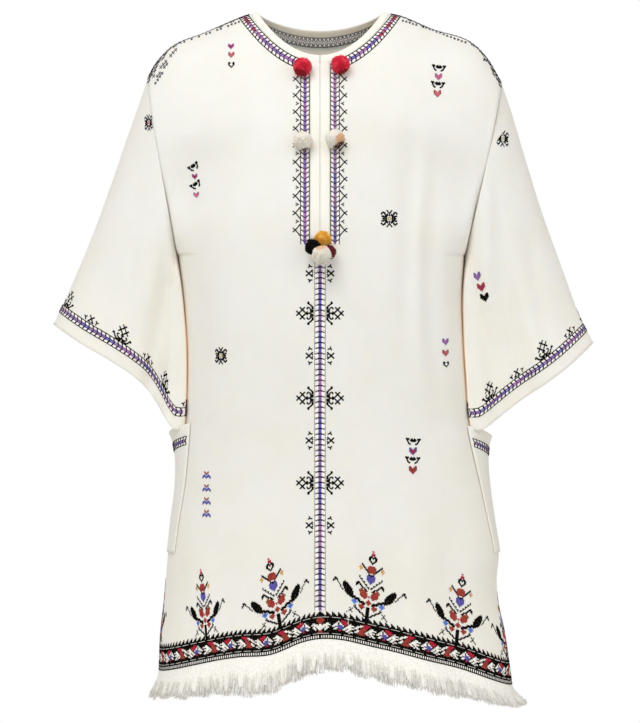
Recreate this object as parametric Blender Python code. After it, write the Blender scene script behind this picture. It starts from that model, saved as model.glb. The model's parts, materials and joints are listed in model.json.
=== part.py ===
"""Mini dress with dropped sleeves, worn and hollow, built from its cloth pieces.

Lengths are in millimetres until the meshes are made. The front faces -Y and
+Z is up. The origin is the middle of the neck opening, where the shoulders
carry the dress. Left is -X and right is +X.
"""

import math
from collections import namedtuple

import bmesh
import bpy
from mathutils import Vector

MILLIMETRE = 0.001

# Driving sizes
CLOTH = 1.6
SEAM_GAP = 0.3
NECK_HALF = 77.5
NECK_SEAM_HALF = 87.0
NECK_TOP = 3.8
FRONT_NECK_DROP = 61.0
BACK_NECK_DROP = 17.0
NECKBAND_WIDTH = 10.5
FRONT_NECK_ROUNDNESS = 0.88
BACK_NECK_ROUNDNESS = 0.95
NECK_GAP = 0.45
UNDERARM = -300.0
ARMHOLE_DEPTH = 64.0
ARMHOLE_FOOT_REACH = 14.0
ARMHOLE_TURN = 0.45
BOXINESS = 2.4
SLIT_HALF = 12.15
SLIT_PARTING = 0.45
LEFT = -1
RIGHT = 1
FRONT = -1
BACK = 1

# How folds begin, end and die away toward the seams, as shares of their length or width
FOLD_RISE = 0.35
FOLD_FALL = 0.65
FOLD_SEAM_FADE = 8
RUNS_OFF_HEM = -860.0

# Number of cells in each grid
ARMHOLE_ROWS = 12
SLIT_ROWS = 10
SKIRT_ROWS = 18
NECK_CELLS = 6
FRONT_SHOULDER_CELLS = 9
BACK_SHOULDER_CELLS = 6
BACK_NECK_CELLS = 5
SLEEVE_RINGS = 10
POCKET_ACROSS = 8
POCKET_DOWN = 7
FRINGE_LOCKS = 60

Shoulder = namedtuple("Shoulder", "out height")
SHOULDER = {
    LEFT: (
        Shoulder(77.5, 3.8),
        Shoulder(96.0, -1.2),
        Shoulder(146.0, -22.5),
        Shoulder(182.0, -37.0),
        Shoulder(204.0, -58.5),
        Shoulder(215.0, -78.0),
    ),
    RIGHT: (
        Shoulder(77.5, 3.8),
        Shoulder(102.0, -1.2),
        Shoulder(141.0, -17.5),
        Shoulder(184.0, -31.0),
        Shoulder(207.0, -51.5),
        Shoulder(226.5, -84.0),
    ),
}

# Half widths to each side and depths to the front and the back, from the underarm down
Section = namedtuple("Section", "height left right front back")
BODY = (
    Section(-300.0, 177.0, 180.0, 124.0, 110.0),
    Section(-355.0, 170.0, 177.0, 124.0, 110.0),
    Section(-412.0, 166.0, 179.0, 122.5, 110.0),
    Section(-460.0, 166.0, 182.5, 120.5, 111.5),
    Section(-510.0, 168.5, 187.5, 119.0, 114.5),
    Section(-580.0, 175.5, 204.0, 118.5, 119.0),
    Section(-631.0, 184.0, 215.5, 119.0, 122.5),
    Section(-671.0, 189.5, 223.0, 120.0, 124.5),
    Section(-700.0, 192.0, 220.5, 121.0, 126.0),
    Section(-730.0, 194.5, 222.0, 122.0, 127.0),
    Section(-770.0, 199.0, 230.5, 124.0, 128.0),
    Section(-815.0, 201.0, 237.0, 127.0, 130.0),
    Section(-880.0, 206.0, 246.0, 131.0, 134.0),
)

# Height of the hem edge across a panel, from the left side seam (-1) to the right one (+1),
# and the length of the fringe below it
Hem = namedtuple("Hem", "across front back fringe")
HEM = (
    Hem(-1.0, -815.0, -815.0, 35.0),
    Hem(-0.75, -800.0, -803.0, 40.0),
    Hem(-0.5, -789.0, -792.0, 46.0),
    Hem(-0.3, -785.0, -784.0, 47.0),
    Hem(-0.12, -771.0, -778.0, 44.0),
    Hem(0.0, -765.5, -776.0, 40.0),
    Hem(0.12, -767.0, -777.0, 39.0),
    Hem(0.3, -777.0, -783.0, 40.0),
    Hem(0.5, -789.0, -796.0, 40.0),
    Hem(0.75, -807.0, -812.0, 37.0),
    Hem(1.0, -833.0, -833.0, 31.0),
)

# Outer edge of each sleeve, from the shoulder end to the cuff
SleeveEdge = namedtuple("SleeveEdge", "along out height")
SLEEVE_OUTER = {
    LEFT: (
        SleeveEdge(0.0, 215.0, -78.0),
        SleeveEdge(0.13, 228.5, -118.0),
        SleeveEdge(0.26, 243.5, -160.0),
        SleeveEdge(0.42, 260.5, -210.0),
        SleeveEdge(0.63, 284.0, -274.0),
        SleeveEdge(0.86, 312.5, -342.0),
        SleeveEdge(1.0, 333.0, -385.0),
    ),
    RIGHT: (
        SleeveEdge(0.0, 226.5, -84.0),
        SleeveEdge(0.1, 238.5, -119.0),
        SleeveEdge(0.27, 255.5, -176.0),
        SleeveEdge(0.49, 277.0, -245.0),
        SleeveEdge(0.73, 304.0, -320.0),
        SleeveEdge(0.91, 325.5, -378.0),
        SleeveEdge(1.0, 341.5, -408.0),
    ),
}
SLEEVE_INNER_DROP = {LEFT: -214.0, RIGHT: -216.0}
SLEEVE_SETBACK = 52.0
SLEEVE_CUFF_DEPTH = 56.0
SLEEVE_CLEARANCE = 3.0
SLEEVE_TUCK = 8.0

# How far the cuff edge lies above the straight line from its outer to its inner corner
CuffLift = namedtuple("CuffLift", "across lift")
CUFF_LIFT = {
    LEFT: (
        CuffLift(0.0, 0.0),
        CuffLift(0.2, 3.0),
        CuffLift(0.45, 10.0),
        CuffLift(0.64, 11.0),
        CuffLift(0.75, 1.0),
        CuffLift(0.87, -16.0),
        CuffLift(0.94, -10.0),
        CuffLift(1.0, 0.0),
    ),
    RIGHT: (
        CuffLift(0.0, 0.0),
        CuffLift(0.27, -8.0),
        CuffLift(0.6, -10.0),
        CuffLift(0.86, -14.0),
        CuffLift(0.94, -8.0),
        CuffLift(1.0, 0.0),
    ),
}

# Soft folds of the body: place across at the top and the bottom, as a share of the half
# width, and how deep the trough is (a ridge is negative)
Fold = namedtuple("Fold", "top bottom across_top across_bottom width depth")
BODY_FOLDS = {
    FRONT: (
        Fold(-95.0, -470.0, 0.56, 0.60, 0.075, 5.0),
        Fold(-120.0, -560.0, 0.70, 0.80, 0.07, 5.5),
        Fold(-110.0, -500.0, 0.63, 0.70, 0.05, -2.0),
        Fold(-420.0, -690.0, -0.16, -0.58, 0.13, 3.0),
        Fold(-210.0, -520.0, -0.84, -0.86, 0.07, 4.0),
        Fold(-650.0, -880.0, -0.12, -0.10, 0.07, 3.5),
        Fold(-610.0, -880.0, 0.34, 0.36, 0.10, 4.0),
        Fold(-560.0, -880.0, 0.74, 0.72, 0.10, 5.0),
        Fold(-620.0, -880.0, -0.60, -0.62, 0.11, 4.5),
        Fold(-590.0, -880.0, 0.54, 0.55, 0.09, -4.0),
    ),
    BACK: (
        Fold(-120.0, -540.0, -0.52, -0.60, 0.08, 5.0),
        Fold(-150.0, -520.0, 0.50, 0.62, 0.08, 4.5),
        Fold(-330.0, -880.0, 0.12, 0.16, 0.11, 4.0),
        Fold(-420.0, -880.0, -0.34, -0.40, 0.12, 5.0),
        Fold(-560.0, -880.0, 0.55, 0.60, 0.11, 5.5),
        Fold(-600.0, -880.0, -0.74, -0.76, 0.10, 5.0),
        Fold(-560.0, -880.0, -0.10, -0.12, 0.09, -4.0),
    ),
}

# Soft folds of the sleeves: shares of the way down the sleeve and across it
SleeveFold = namedtuple("SleeveFold", "side start end across_start across_end width depth")
SLEEVE_FOLDS = {
    LEFT: (
        SleeveFold(FRONT, 0.22, 1.1, 0.70, 0.74, 0.07, 8.0),
        SleeveFold(FRONT, 0.30, 1.1, 0.56, 0.60, 0.08, -3.0),
        SleeveFold(BACK, 0.10, 1.1, 0.45, 0.50, 0.09, 7.0),
        SleeveFold(BACK, 0.35, 1.1, 0.70, 0.76, 0.07, 5.0),
    ),
    RIGHT: (
        SleeveFold(FRONT, 0.05, 1.1, 0.45, 0.52, 0.08, 8.0),
        SleeveFold(FRONT, 0.10, 1.0, 0.68, 0.72, 0.08, -4.0),
        SleeveFold(BACK, 0.15, 1.1, 0.40, 0.46, 0.09, 6.0),
        SleeveFold(BACK, 0.30, 1.1, 0.68, 0.72, 0.07, 6.0),
    ),
}

# Patch pockets, set over the side seams: how far they reach to the front and the back
Pocket = namedtuple("Pocket", "reach_front reach_back top_front top_side top_back bottom bulge lip")
POCKETS = {
    LEFT: Pocket(52.0, 70.0, -508.0, -521.0, -524.0, -668.0, 10.0, 8.0),
    RIGHT: Pocket(44.0, 74.0, -511.0, -525.0, -528.0, -668.0, 16.0, 8.0),
}

POCKET_GAP = 0.45
POCKET_BULGE_FALL = 1.6
POCKET_LIP_FALL = 9
POCKET_EDGE_RISE = 0.8

# Fringe: flare is the outward lean, in degrees, at the left seam, the middle and the right seam
FRINGE_HEADING = 3.0
HEADING_END = 1.5
HEADING_GAP = 0.5
FRINGE_LENGTH_SWING = 3.0
LOCK_SHARE = 0.74
LOCK_TIP = 0.55
LOCK_SWAY = 0.05
FLARE_LEFT = 16.0
FLARE_MIDDLE = 3.0
FLARE_RIGHT = 30.0
FLARE_SWING = 3.0

# Pompoms: place of the centre, radius to the tuft tips, and how far out from the cloth
Pompom = namedtuple("Pompom", "name x height radius layer colour")
TUFT_HEIGHT = 2.0
TUFTS = 11
NESTING = 0.4
CROWDED = 0.45
POMPOM_STEP = 0.1
POMPOMS = (
    Pompom("pompom_neck_left", -21.5, -79.0, 12.5, 0, "red"),
    Pompom("pompom_neck_right", 24.5, -76.0, 12.5, 0, "red"),
    Pompom("pompom_middle_left", -20.5, -169.0, 12.5, 0, "cream yarn"),
    Pompom("pompom_middle_right", 17.5, -166.5, 12.5, 0, "cream yarn"),
    Pompom("pompom_foot_gold", 2.2, -286.5, 12.0, 0, "gold"),
    Pompom("pompom_foot_black", -8.2, -296.0, 11.0, 1, "black"),
    Pompom("pompom_foot_dark_red", 10.2, -300.5, 10.0, 1, "dark red"),
    Pompom("pompom_foot_cream", 1.8, -305.8, 12.5, 1, "cream yarn"),
)

COLOURS = {
    "cream cloth": (0.87, 0.82, 0.73),
    "cream band": (0.90, 0.86, 0.78),
    "cream yarn": (0.88, 0.80, 0.66),
    "red": (0.62, 0.02, 0.03),
    "dark red": (0.30, 0.01, 0.03),
    "black": (0.015, 0.012, 0.012),
    "gold": (0.62, 0.33, 0.03),
}


def mix(start, end, share):
    return start + (end - start) * share


def smooth_step(start, end, value):
    share = min(max((value - start) / (end - start), 0.0), 1.0)
    return share * share * (3.0 - 2.0 * share)


def read_table(rows, key, column, value):
    """Read one column of a table at a value of its key column, on a smooth curve."""
    keys = [getattr(row, key) for row in rows]
    values = [getattr(row, column) for row in rows]
    if keys[0] > keys[-1]:
        keys.reverse()
        values.reverse()
    if value <= keys[0]:
        return values[0]
    if value >= keys[-1]:
        return values[-1]
    last = len(keys) - 1
    cell = max(index for index in range(last) if keys[index] <= value)
    slopes = []
    for index in (cell, cell + 1):
        before = max(index - 1, 0)
        after = min(index + 1, last)
        slopes.append((values[after] - values[before]) / (keys[after] - keys[before]))
    length = keys[cell + 1] - keys[cell]
    share = (value - keys[cell]) / length
    rise = share * share * (3.0 - 2.0 * share)
    start_pull = share * (1.0 - share) ** 2 * length * slopes[0]
    end_pull = share ** 2 * (share - 1.0) * length * slopes[1]
    return mix(values[cell], values[cell + 1], rise) + start_pull + end_pull


def half_width(side, height):
    column = "left" if side == LEFT else "right"
    return read_table(BODY, "height", column, min(height, UNDERARM))


def full_depth(face, height):
    column = "front" if face == FRONT else "back"
    return read_table(BODY, "height", column, min(height, UNDERARM))


def side_of(x):
    return RIGHT if x >= 0.0 else LEFT


def shoulder_end(side):
    return SHOULDER[side][-1]


def shoulder_height(x):
    return read_table(SHOULDER[side_of(x)], "out", "height", abs(x))


def armhole_x(side, share):
    """Distance out of the armhole seam at a share of the way from the shoulder to the underarm."""
    return mix(shoulder_end(side).out, half_width(side, UNDERARM), share)


def body_fold(face, across, height):
    """Depth of the folds of one panel at a share across it."""
    total = 0.0
    for fold in BODY_FOLDS[face]:
        down = (fold.top - height) / (fold.top - fold.bottom)
        centre = mix(fold.across_top, fold.across_bottom, down)
        end_fade = 1.0
        if fold.bottom > RUNS_OFF_HEM:
            end_fade = 1.0 - smooth_step(FOLD_FALL, 1.0, down)
        strength = smooth_step(0.0, FOLD_RISE, down) * end_fade
        total += fold.depth * strength * math.exp(-((across - centre) / fold.width) ** 2)
    return total


def panel_depth(face, x, height):
    """How far the outer face of a panel lies from the plane of the shoulder seams."""
    side = side_of(x)
    if height <= UNDERARM:
        ratio = min(abs(x) / half_width(side, height), 1.0)
        depth = full_depth(face, height) * (1.0 - ratio ** BOXINESS) ** (1.0 / BOXINESS)
    else:
        top = shoulder_height(x)
        share = min(max((top - height) / (top - UNDERARM), 0.0), 1.0)
        ratio = min(abs(x) / armhole_x(side, share), 1.0)
        armhole = 2.0 * ARMHOLE_DEPTH * math.sqrt(share * (1.0 - share))
        middle = full_depth(face, UNDERARM) * math.sqrt(1.0 - (1.0 - share) ** 2)
        lower = smooth_step(ARMHOLE_TURN, 1.0, share)
        turn = mix(1.0, 1.0 / BOXINESS, lower)
        reach = mix(BOXINESS, ARMHOLE_FOOT_REACH, lower)
        depth = middle * (1.0 - ratio ** BOXINESS) ** turn + armhole * ratio ** reach
    across = side * ratio
    room = 1.0 - ratio ** FOLD_SEAM_FADE
    return depth - body_fold(face, across, height) * room


def panel_point(face, x, height):
    return Vector((x, face * max(panel_depth(face, x, height), SEAM_GAP / 2.0), height))


def hem_height(face, across):
    column = "front" if face == FRONT else "back"
    return read_table(HEM, "across", column, across)


def neck_height(face, x, half):
    """Height of a neck curve that meets the shoulder seam at a distance from the middle."""
    drop = FRONT_NECK_DROP if face == FRONT else BACK_NECK_DROP
    extra = NECKBAND_WIDTH * (half - NECK_HALF) / (NECK_SEAM_HALF - NECK_HALF)
    top = shoulder_height(side_of(x) * half)
    bottom = NECK_TOP - drop - extra
    share = min(abs(x) / half, 1.0)
    roundness = FRONT_NECK_ROUNDNESS if face == FRONT else BACK_NECK_ROUNDNESS
    return top - (top - bottom) * (1.0 - share * share) ** roundness


def half_columns(face, side):
    """Columns of one half panel, from the middle out: distance at the top, and angle below."""
    first = SLIT_HALF if face == FRONT else 0.0
    neck_cells = NECK_CELLS if face == FRONT else BACK_NECK_CELLS
    shoulder_cells = FRONT_SHOULDER_CELLS if face == FRONT else BACK_SHOULDER_CELLS
    first_angle = math.asin(first / NECK_SEAM_HALF)
    tops = []
    for cell in range(neck_cells + 1):
        angle = mix(first_angle, math.pi / 2.0, cell / neck_cells)
        tops.append(NECK_SEAM_HALF * math.sin(angle))
    for cell in range(1, shoulder_cells + 1):
        tops.append(mix(NECK_SEAM_HALF, shoulder_end(side).out, cell / shoulder_cells))
    ratio = first / half_width(side, UNDERARM)
    first_angle = math.asin(ratio ** (BOXINESS / 2.0))
    last = len(tops) - 1
    angles = [mix(first_angle, math.pi / 2.0, index / last) for index in range(last + 1)]
    return tops, angles, neck_cells


def column_points(face, side, top_out, angle, is_neck):
    """Points of one column of a panel, from its top edge to the hem."""
    share_out = math.sin(angle) ** (2.0 / BOXINESS)
    top_x = side * top_out
    if is_neck:
        top_height = neck_height(face, top_x, NECK_SEAM_HALF)
    else:
        top_height = shoulder_height(top_x)
    points = []
    for row in range(ARMHOLE_ROWS + 1):
        share = (1.0 - math.cos(math.pi * row / ARMHOLE_ROWS)) / 2.0
        x = side * mix(top_out, half_width(side, UNDERARM) * share_out, share)
        height = mix(top_height, UNDERARM, share)
        points.append(panel_point(face, x, height))
    hem = hem_height(face, side * share_out)
    for row in range(1, SKIRT_ROWS + 1):
        height = mix(UNDERARM, hem, row / SKIRT_ROWS)
        x = side * half_width(side, height) * share_out
        points.append(panel_point(face, x, height))
    return points


def armhole_normals(side):
    """Directions away from the middle of the armhole, in its own plane, front half."""
    end = shoulder_end(side)
    chord = Vector((side * (end.out - half_width(side, UNDERARM)), 0.0, end.height - UNDERARM))
    half_chord = chord.length / 2.0
    along = chord.normalized()
    normals = []
    for row in range(ARMHOLE_ROWS + 1):
        angle = math.pi * row / ARMHOLE_ROWS
        out = along * (math.cos(angle) / half_chord)
        out += Vector((0.0, FRONT * math.sin(angle) / ARMHOLE_DEPTH, 0.0))
        normals.append(out.normalized())
    return normals


def grid_normals(grid, loop=False):
    """Outward direction at each point of a grid of rows, from its neighbours."""
    rows = len(grid)
    columns = len(grid[0])
    normals = []
    for row in range(rows):
        line = []
        for column in range(columns):
            if loop:
                before = (column - 1) % columns
                after = (column + 1) % columns
            else:
                before = max(column - 1, 0)
                after = min(column + 1, columns - 1)
            across = grid[row][after] - grid[row][before]
            down = grid[min(row + 1, rows - 1)][column] - grid[max(row - 1, 0)][column]
            line.append(down.cross(across).normalized())
        normals.append(line)
    return normals


def flatten_to_seam(normal):
    return Vector((normal.x, 0.0, normal.z)).normalized()


def panel_grid(face):
    """Rows of points of a panel, with the outward direction at each of them."""
    halves = {}
    for side in (LEFT, RIGHT):
        tops, angles, neck_cells = half_columns(face, side)
        columns = []
        for index, (top_out, angle) in enumerate(zip(tops, angles)):
            columns.append(column_points(face, side, top_out, angle, index < neck_cells))
        halves[side] = columns
    left_first = list(reversed(halves[LEFT]))
    right_last = halves[RIGHT]
    if face == BACK:
        right_last = right_last[1:]
    columns = left_first + right_last
    shoulder_cells = FRONT_SHOULDER_CELLS if face == FRONT else BACK_SHOULDER_CELLS
    if face == BACK:
        columns.reverse()
    row_count = ARMHOLE_ROWS + SKIRT_ROWS + 1
    grid = [[column[row] for column in columns] for row in range(row_count)]
    normals = grid_normals(grid)
    last = len(columns) - 1
    for column in range(last + 1):
        if column <= shoulder_cells or column >= last - shoulder_cells:
            normals[0][column] = flatten_to_seam(normals[0][column])
    first_side = LEFT if face == FRONT else RIGHT
    for column, side in ((0, first_side), (last, -first_side)):
        for row, normal in enumerate(armhole_normals(side)):
            normals[row][column] = Vector((normal.x, normal.y * (-face), normal.z))
        for row in range(ARMHOLE_ROWS + 1, row_count):
            normals[row][column] = flatten_to_seam(normals[row][column])
    return grid, normals


def make_object(name, mesh, colour):
    material = bpy.data.materials.get(colour)
    if material is None:
        material = bpy.data.materials.new(colour)
        material.use_nodes = True
        shader = material.node_tree.nodes["Principled BSDF"]
        shader.inputs["Base Color"].default_value = (*COLOURS[colour], 1.0)
        shader.inputs["Roughness"].default_value = 0.9
    data = bpy.data.meshes.new(name)
    for vertex in mesh.verts:
        vertex.co *= MILLIMETRE
    mesh.to_mesh(data)
    mesh.free()
    data.materials.append(material)
    data.shade_smooth()
    thing = bpy.data.objects.new(name, data)
    bpy.context.scene.collection.objects.link(thing)
    return thing


def cloth_wall(grid, normals, thickness=CLOTH, loop=False, skip=None):
    """Closed wall of cloth between a grid of outer points and the same points moved in."""
    mesh = bmesh.new()
    row_count = len(grid)
    column_count = len(grid[0])
    corners = {}

    def corner(row, column, inner):
        key = (row, column % column_count, inner)
        if key not in corners:
            point = grid[row][key[1]]
            if inner:
                point = point - normals[row][key[1]] * thickness
            corners[key] = mesh.verts.new(point)
        return corners[key]

    edges = {}
    cell_columns = column_count if loop else column_count - 1
    for row in range(row_count - 1):
        for column in range(cell_columns):
            if skip is not None and skip(row, column):
                continue
            after = (column + 1) % column_count
            ring = ((row, column), (row + 1, column), (row + 1, after), (row, after))
            mesh.faces.new([corner(*place, False) for place in ring])
            mesh.faces.new([corner(*place, True) for place in reversed(ring)])
            for start, end in zip(ring, ring[1:] + ring[:1]):
                edges[(start, end)] = edges.get((start, end), 0) + 1
    for start, end in edges:
        if (end, start) in edges:
            continue
        mesh.faces.new((
            corner(*end, False),
            corner(*start, False),
            corner(*start, True),
            corner(*end, True),
        ))
    return mesh


def slit_cells(row, column):
    middle = FRONT_SHOULDER_CELLS + NECK_CELLS
    return column == middle and row < SLIT_ROWS


def build_panels():
    grids = {}
    for face, name in ((FRONT, "front"), (BACK, "back")):
        grid, normals = panel_grid(face)
        skip = slit_cells if face == FRONT else None
        make_object(name, cloth_wall(grid, normals, skip=skip), "cream cloth")
        grids[face] = (grid, normals)
    return grids


def sleeve_point(side, angle, along):
    """Point on a sleeve at an angle round it (0 outside, 90 degrees front) and a share along it."""
    across = (1.0 - math.cos(angle)) / 2.0
    face = FRONT if math.sin(angle) >= 0.0 else BACK
    outer = Vector((
        side * read_table(SLEEVE_OUTER[side], "along", "out", along),
        0.0,
        read_table(SLEEVE_OUTER[side], "along", "height", along),
    ))
    inner_height = UNDERARM + SLEEVE_INNER_DROP[side] * along
    inner_out = half_width(side, inner_height) - SLEEVE_TUCK * along
    inner = Vector((side * inner_out, 0.0, inner_height))
    point = outer.lerp(inner, across)
    depth = mix(ARMHOLE_DEPTH, SLEEVE_CUFF_DEPTH, along)
    setback = SLEEVE_SETBACK * smooth_step(0.0, 1.0, along) * across ** 2
    lift = read_table(CUFF_LIFT[side], "across", "lift", across)
    point.z += lift * along ** 1.5
    fold = 0.0
    for row in SLEEVE_FOLDS[side]:
        if row.side != face:
            continue
        down = (along - row.start) / (row.end - row.start)
        centre = mix(row.across_start, row.across_end, down)
        strength = smooth_step(0.0, FOLD_RISE, down)
        fold += row.depth * strength * math.exp(-((across - centre) / row.width) ** 2)
    point.y = face * (depth * abs(math.sin(angle)) - fold) + setback
    return keep_off_body(side, point, along)


def keep_off_body(side, point, along):
    """Move a sleeve point out until it is clear of the side of the body below the underarm."""
    if point.z > UNDERARM:
        return point
    body_face = FRONT if point.y < 0.0 else BACK
    ratio = min(abs(point.y) / full_depth(body_face, point.z), 1.0)
    body_out = half_width(side, point.z) * (1.0 - ratio ** BOXINESS) ** (1.0 / BOXINESS)
    clearance = SLEEVE_CLEARANCE * smooth_step(0.0, 0.15, along) + SEAM_GAP
    out = max(side * point.x, body_out + clearance)
    return Vector((side * out, point.y, point.z))


def build_sleeve(side, name):
    end = shoulder_end(side)
    chord = Vector((side * (end.out - half_width(side, UNDERARM)), 0.0, end.height - UNDERARM))
    away = Vector((side * chord.z, 0.0, -side * chord.x)).normalized()
    count = 2 * ARMHOLE_ROWS
    grid = []
    for ring in range(SLEEVE_RINGS + 1):
        along = ring / SLEEVE_RINGS
        line = []
        for step in range(count):
            angle = -side * 2.0 * math.pi * step / count
            point = sleeve_point(side, angle, along)
            if ring == 0:
                point = point + away * SEAM_GAP
            line.append(point)
        grid.append(line)
    normals = grid_normals(grid, loop=True)
    front_normals = armhole_normals(side)
    for step in range(count):
        row = min(step, count - step)
        normal = front_normals[row]
        is_front = (step <= ARMHOLE_ROWS) == (side == LEFT)
        sign = 1.0 if is_front else -1.0
        normals[0][step] = Vector((normal.x, normal.y * sign, normal.z))
    make_object(name, cloth_wall(grid, normals, loop=True), "cream cloth")


def neck_column(face, x, seam_normal):
    """Points of the neckband over one place on the neck seam, from its edge to the seam."""
    side = side_of(x)
    seam_height = neck_height(face, x, NECK_SEAM_HALF)
    edge_x = x * NECK_HALF / NECK_SEAM_HALF
    if abs(x) <= SLIT_HALF:
        edge_x = x
    edge_height = neck_height(face, edge_x, NECK_HALF)
    seam = panel_point(face, x, seam_height)
    edge = panel_point(face, edge_x, edge_height)
    if abs(abs(x) - NECK_SEAM_HALF) < 0.01:
        seam = Vector((x, 0.0, seam_height))
        edge = Vector((side * NECK_HALF, 0.0, NECK_TOP))
    up = (edge - seam).normalized()
    middle_x = mix(edge_x, x, 0.5)
    middle = seam.lerp(edge, 0.5)
    if seam.y != 0.0:
        middle = panel_point(face, middle_x, mix(edge_height, seam_height, 0.5))
    return [edge, middle, seam + up * NECK_GAP], seam_normal


def build_neckband(grids):
    """Band round the neck, open at the middle of the front."""
    front_grid, front_normals = grids[FRONT]
    back_grid, back_normals = grids[BACK]
    first = FRONT_SHOULDER_CELLS
    middle = FRONT_SHOULDER_CELLS + NECK_CELLS
    columns = []
    for index in range(middle + 1, middle + 2 + NECK_CELLS):
        point = front_grid[0][index]
        columns.append(neck_column(FRONT, point.x, front_normals[0][index]))
    last_back = len(back_grid[0]) - 1 - BACK_SHOULDER_CELLS
    for index in range(BACK_SHOULDER_CELLS + 1, last_back):
        point = back_grid[0][index]
        columns.append(neck_column(BACK, point.x, back_normals[0][index]))
    for index in range(first, middle + 1):
        point = front_grid[0][index]
        columns.append(neck_column(FRONT, point.x, front_normals[0][index]))
    start = neck_column(FRONT, SLIT_PARTING, front_normals[0][middle + 1])
    end = neck_column(FRONT, -SLIT_PARTING, front_normals[0][middle])
    columns = [start] + columns + [end]
    grid = [[points[row] for points, _ in columns] for row in range(3)]
    normals = grid_normals(grid)
    normals[2] = [normal for _, normal in columns]
    for column, normal in enumerate(normals[2]):
        normals[1][column] = (normals[0][column] + normal).normalized()
    make_object("neckband", cloth_wall(grid, normals), "cream band")


def build_placket(side, name, grids):
    """Strip along one side of the slit, from the neckband to the foot of the slit."""
    front_grid, front_normals = grids[FRONT]
    middle = FRONT_SHOULDER_CELLS + NECK_CELLS
    column = middle if side == LEFT else middle + 1
    grid = []
    normals = []
    for row in range(SLIT_ROWS + 1):
        share = (1.0 - math.cos(math.pi * row / ARMHOLE_ROWS)) / 2.0
        line = []
        for out in (SLIT_HALF - SEAM_GAP, SLIT_HALF / 2.0, SLIT_PARTING):
            x = side * out
            height = mix(neck_height(FRONT, x, NECK_SEAM_HALF), UNDERARM, share)
            if row == SLIT_ROWS:
                height = mix(neck_height(FRONT, side * SLIT_HALF, NECK_SEAM_HALF), UNDERARM, share)
                height += SEAM_GAP
            line.append(panel_point(FRONT, x, height))
        if side == RIGHT:
            line.reverse()
        normal = front_normals[row][column]
        grid.append(line)
        normals.append([normal] * 3)
    make_object(name, cloth_wall(grid, normals), "cream band")


def side_wall_point(side, y, height):
    """Point on the side of the body at a distance to the front (-) or the back (+)."""
    face = FRONT if y < 0.0 else BACK
    depth = full_depth(face, height)
    width = half_width(side, height)
    ratio = min(abs(y) / depth, 0.999)
    x = width * (1.0 - ratio ** BOXINESS) ** (1.0 / BOXINESS)
    slope_x = (x / width) ** (BOXINESS - 1.0) / width
    slope_y = ratio ** (BOXINESS - 1.0) / depth
    out = Vector((side * slope_x, face * slope_y, 0.0)).normalized()
    return Vector((side * x, y, height)), out


def build_pocket(side, name):
    pocket = POCKETS[side]
    grid = []
    for row in range(POCKET_DOWN + 1):
        down = row / POCKET_DOWN
        line = []
        for column in range(POCKET_ACROSS + 1):
            share = column / POCKET_ACROSS
            y = mix(-pocket.reach_front, pocket.reach_back, share)
            if y < 0.0:
                top = mix(pocket.top_side, pocket.top_front, -y / pocket.reach_front)
            else:
                top = mix(pocket.top_side, pocket.top_back, y / pocket.reach_back)
            height = mix(top, pocket.bottom, down)
            base, out = side_wall_point(side, y, height)
            room = math.sin(math.pi * share) ** POCKET_EDGE_RISE
            up = 1.0 - down
            open_out = pocket.bulge * up ** POCKET_BULGE_FALL + pocket.lip * up ** POCKET_LIP_FALL
            line.append(base + out * (CLOTH + POCKET_GAP + open_out * room))
        if side == LEFT:
            line.reverse()
        grid.append(line)
    normals = grid_normals(grid)
    make_object(name, cloth_wall(grid, normals), "cream cloth")


def along_row(points, lines, distance):
    """Place on a row of points at a distance along it, with each line of directions there."""
    for index, (start, end) in enumerate(zip(points, points[1:])):
        length = (end - start).length
        if distance <= length or index == len(points) - 2:
            share = min(distance / length, 1.0)
            mixed = [line[index].lerp(line[index + 1], share) for line in lines]
            return start.lerp(end, share), mixed
        distance -= length
    raise ValueError("the row has fewer than two points")


def build_fringe(face, name, grids):
    """Heading strip under the hem edge of one panel, with its locks."""
    grid, grid_normal_rows = grids[face]
    hem = grid[-1]
    out_line = grid_normal_rows[-1]
    down_line = [(low - high).normalized() for low, high in zip(grid[-1], grid[-2])]
    hem_length = sum((end - start).length for start, end in zip(hem, hem[1:]))
    pitch = (hem_length - 2.0 * HEADING_END) / FRINGE_LOCKS
    distances = []
    for lock in range(FRINGE_LOCKS):
        distances.append(HEADING_END + pitch * lock)
        distances.append(HEADING_END + pitch * (lock + LOCK_SHARE))
    frames = []
    for distance in distances:
        point, (out, down) = along_row(hem, (out_line, down_line), distance)
        frames.append((point, out, down))
    top_shift = HEADING_GAP
    low_shift = HEADING_GAP + FRINGE_HEADING
    mesh = bmesh.new()
    rows = []
    for shift in (top_shift, low_shift):
        outer = [mesh.verts.new(point + down * shift) for point, out, down in frames]
        inner = [mesh.verts.new(point + down * shift - out * CLOTH) for point, out, down in frames]
        rows.append((outer, inner))
    (top_outer, top_inner), (low_outer, low_inner) = rows
    last = len(frames) - 1
    for cell in range(last):
        after = cell + 1
        mesh.faces.new((top_outer[cell], low_outer[cell], low_outer[after], top_outer[after]))
        mesh.faces.new((top_inner[after], low_inner[after], low_inner[cell], top_inner[cell]))
        mesh.faces.new((top_outer[after], top_inner[after], top_inner[cell], top_outer[cell]))
        root = (low_outer[cell], low_inner[cell], low_inner[after], low_outer[after])
        if cell % 2 == 0:
            add_lock(mesh, root, cell, frames[cell])
        else:
            mesh.faces.new(root)
    mesh.faces.new((top_outer[0], top_inner[0], low_inner[0], low_outer[0]))
    mesh.faces.new((low_outer[last], low_inner[last], top_inner[last], top_outer[last]))
    make_object(name, mesh, "cream yarn")


def flare_at(x):
    """Outward lean of the fringe, which grows toward the side seams."""
    side = side_of(x)
    end = FLARE_LEFT if side == LEFT else FLARE_RIGHT
    return mix(FLARE_MIDDLE, end, min(abs(x) / half_width(side, BODY[-1].height), 1.0) ** 4)


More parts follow.
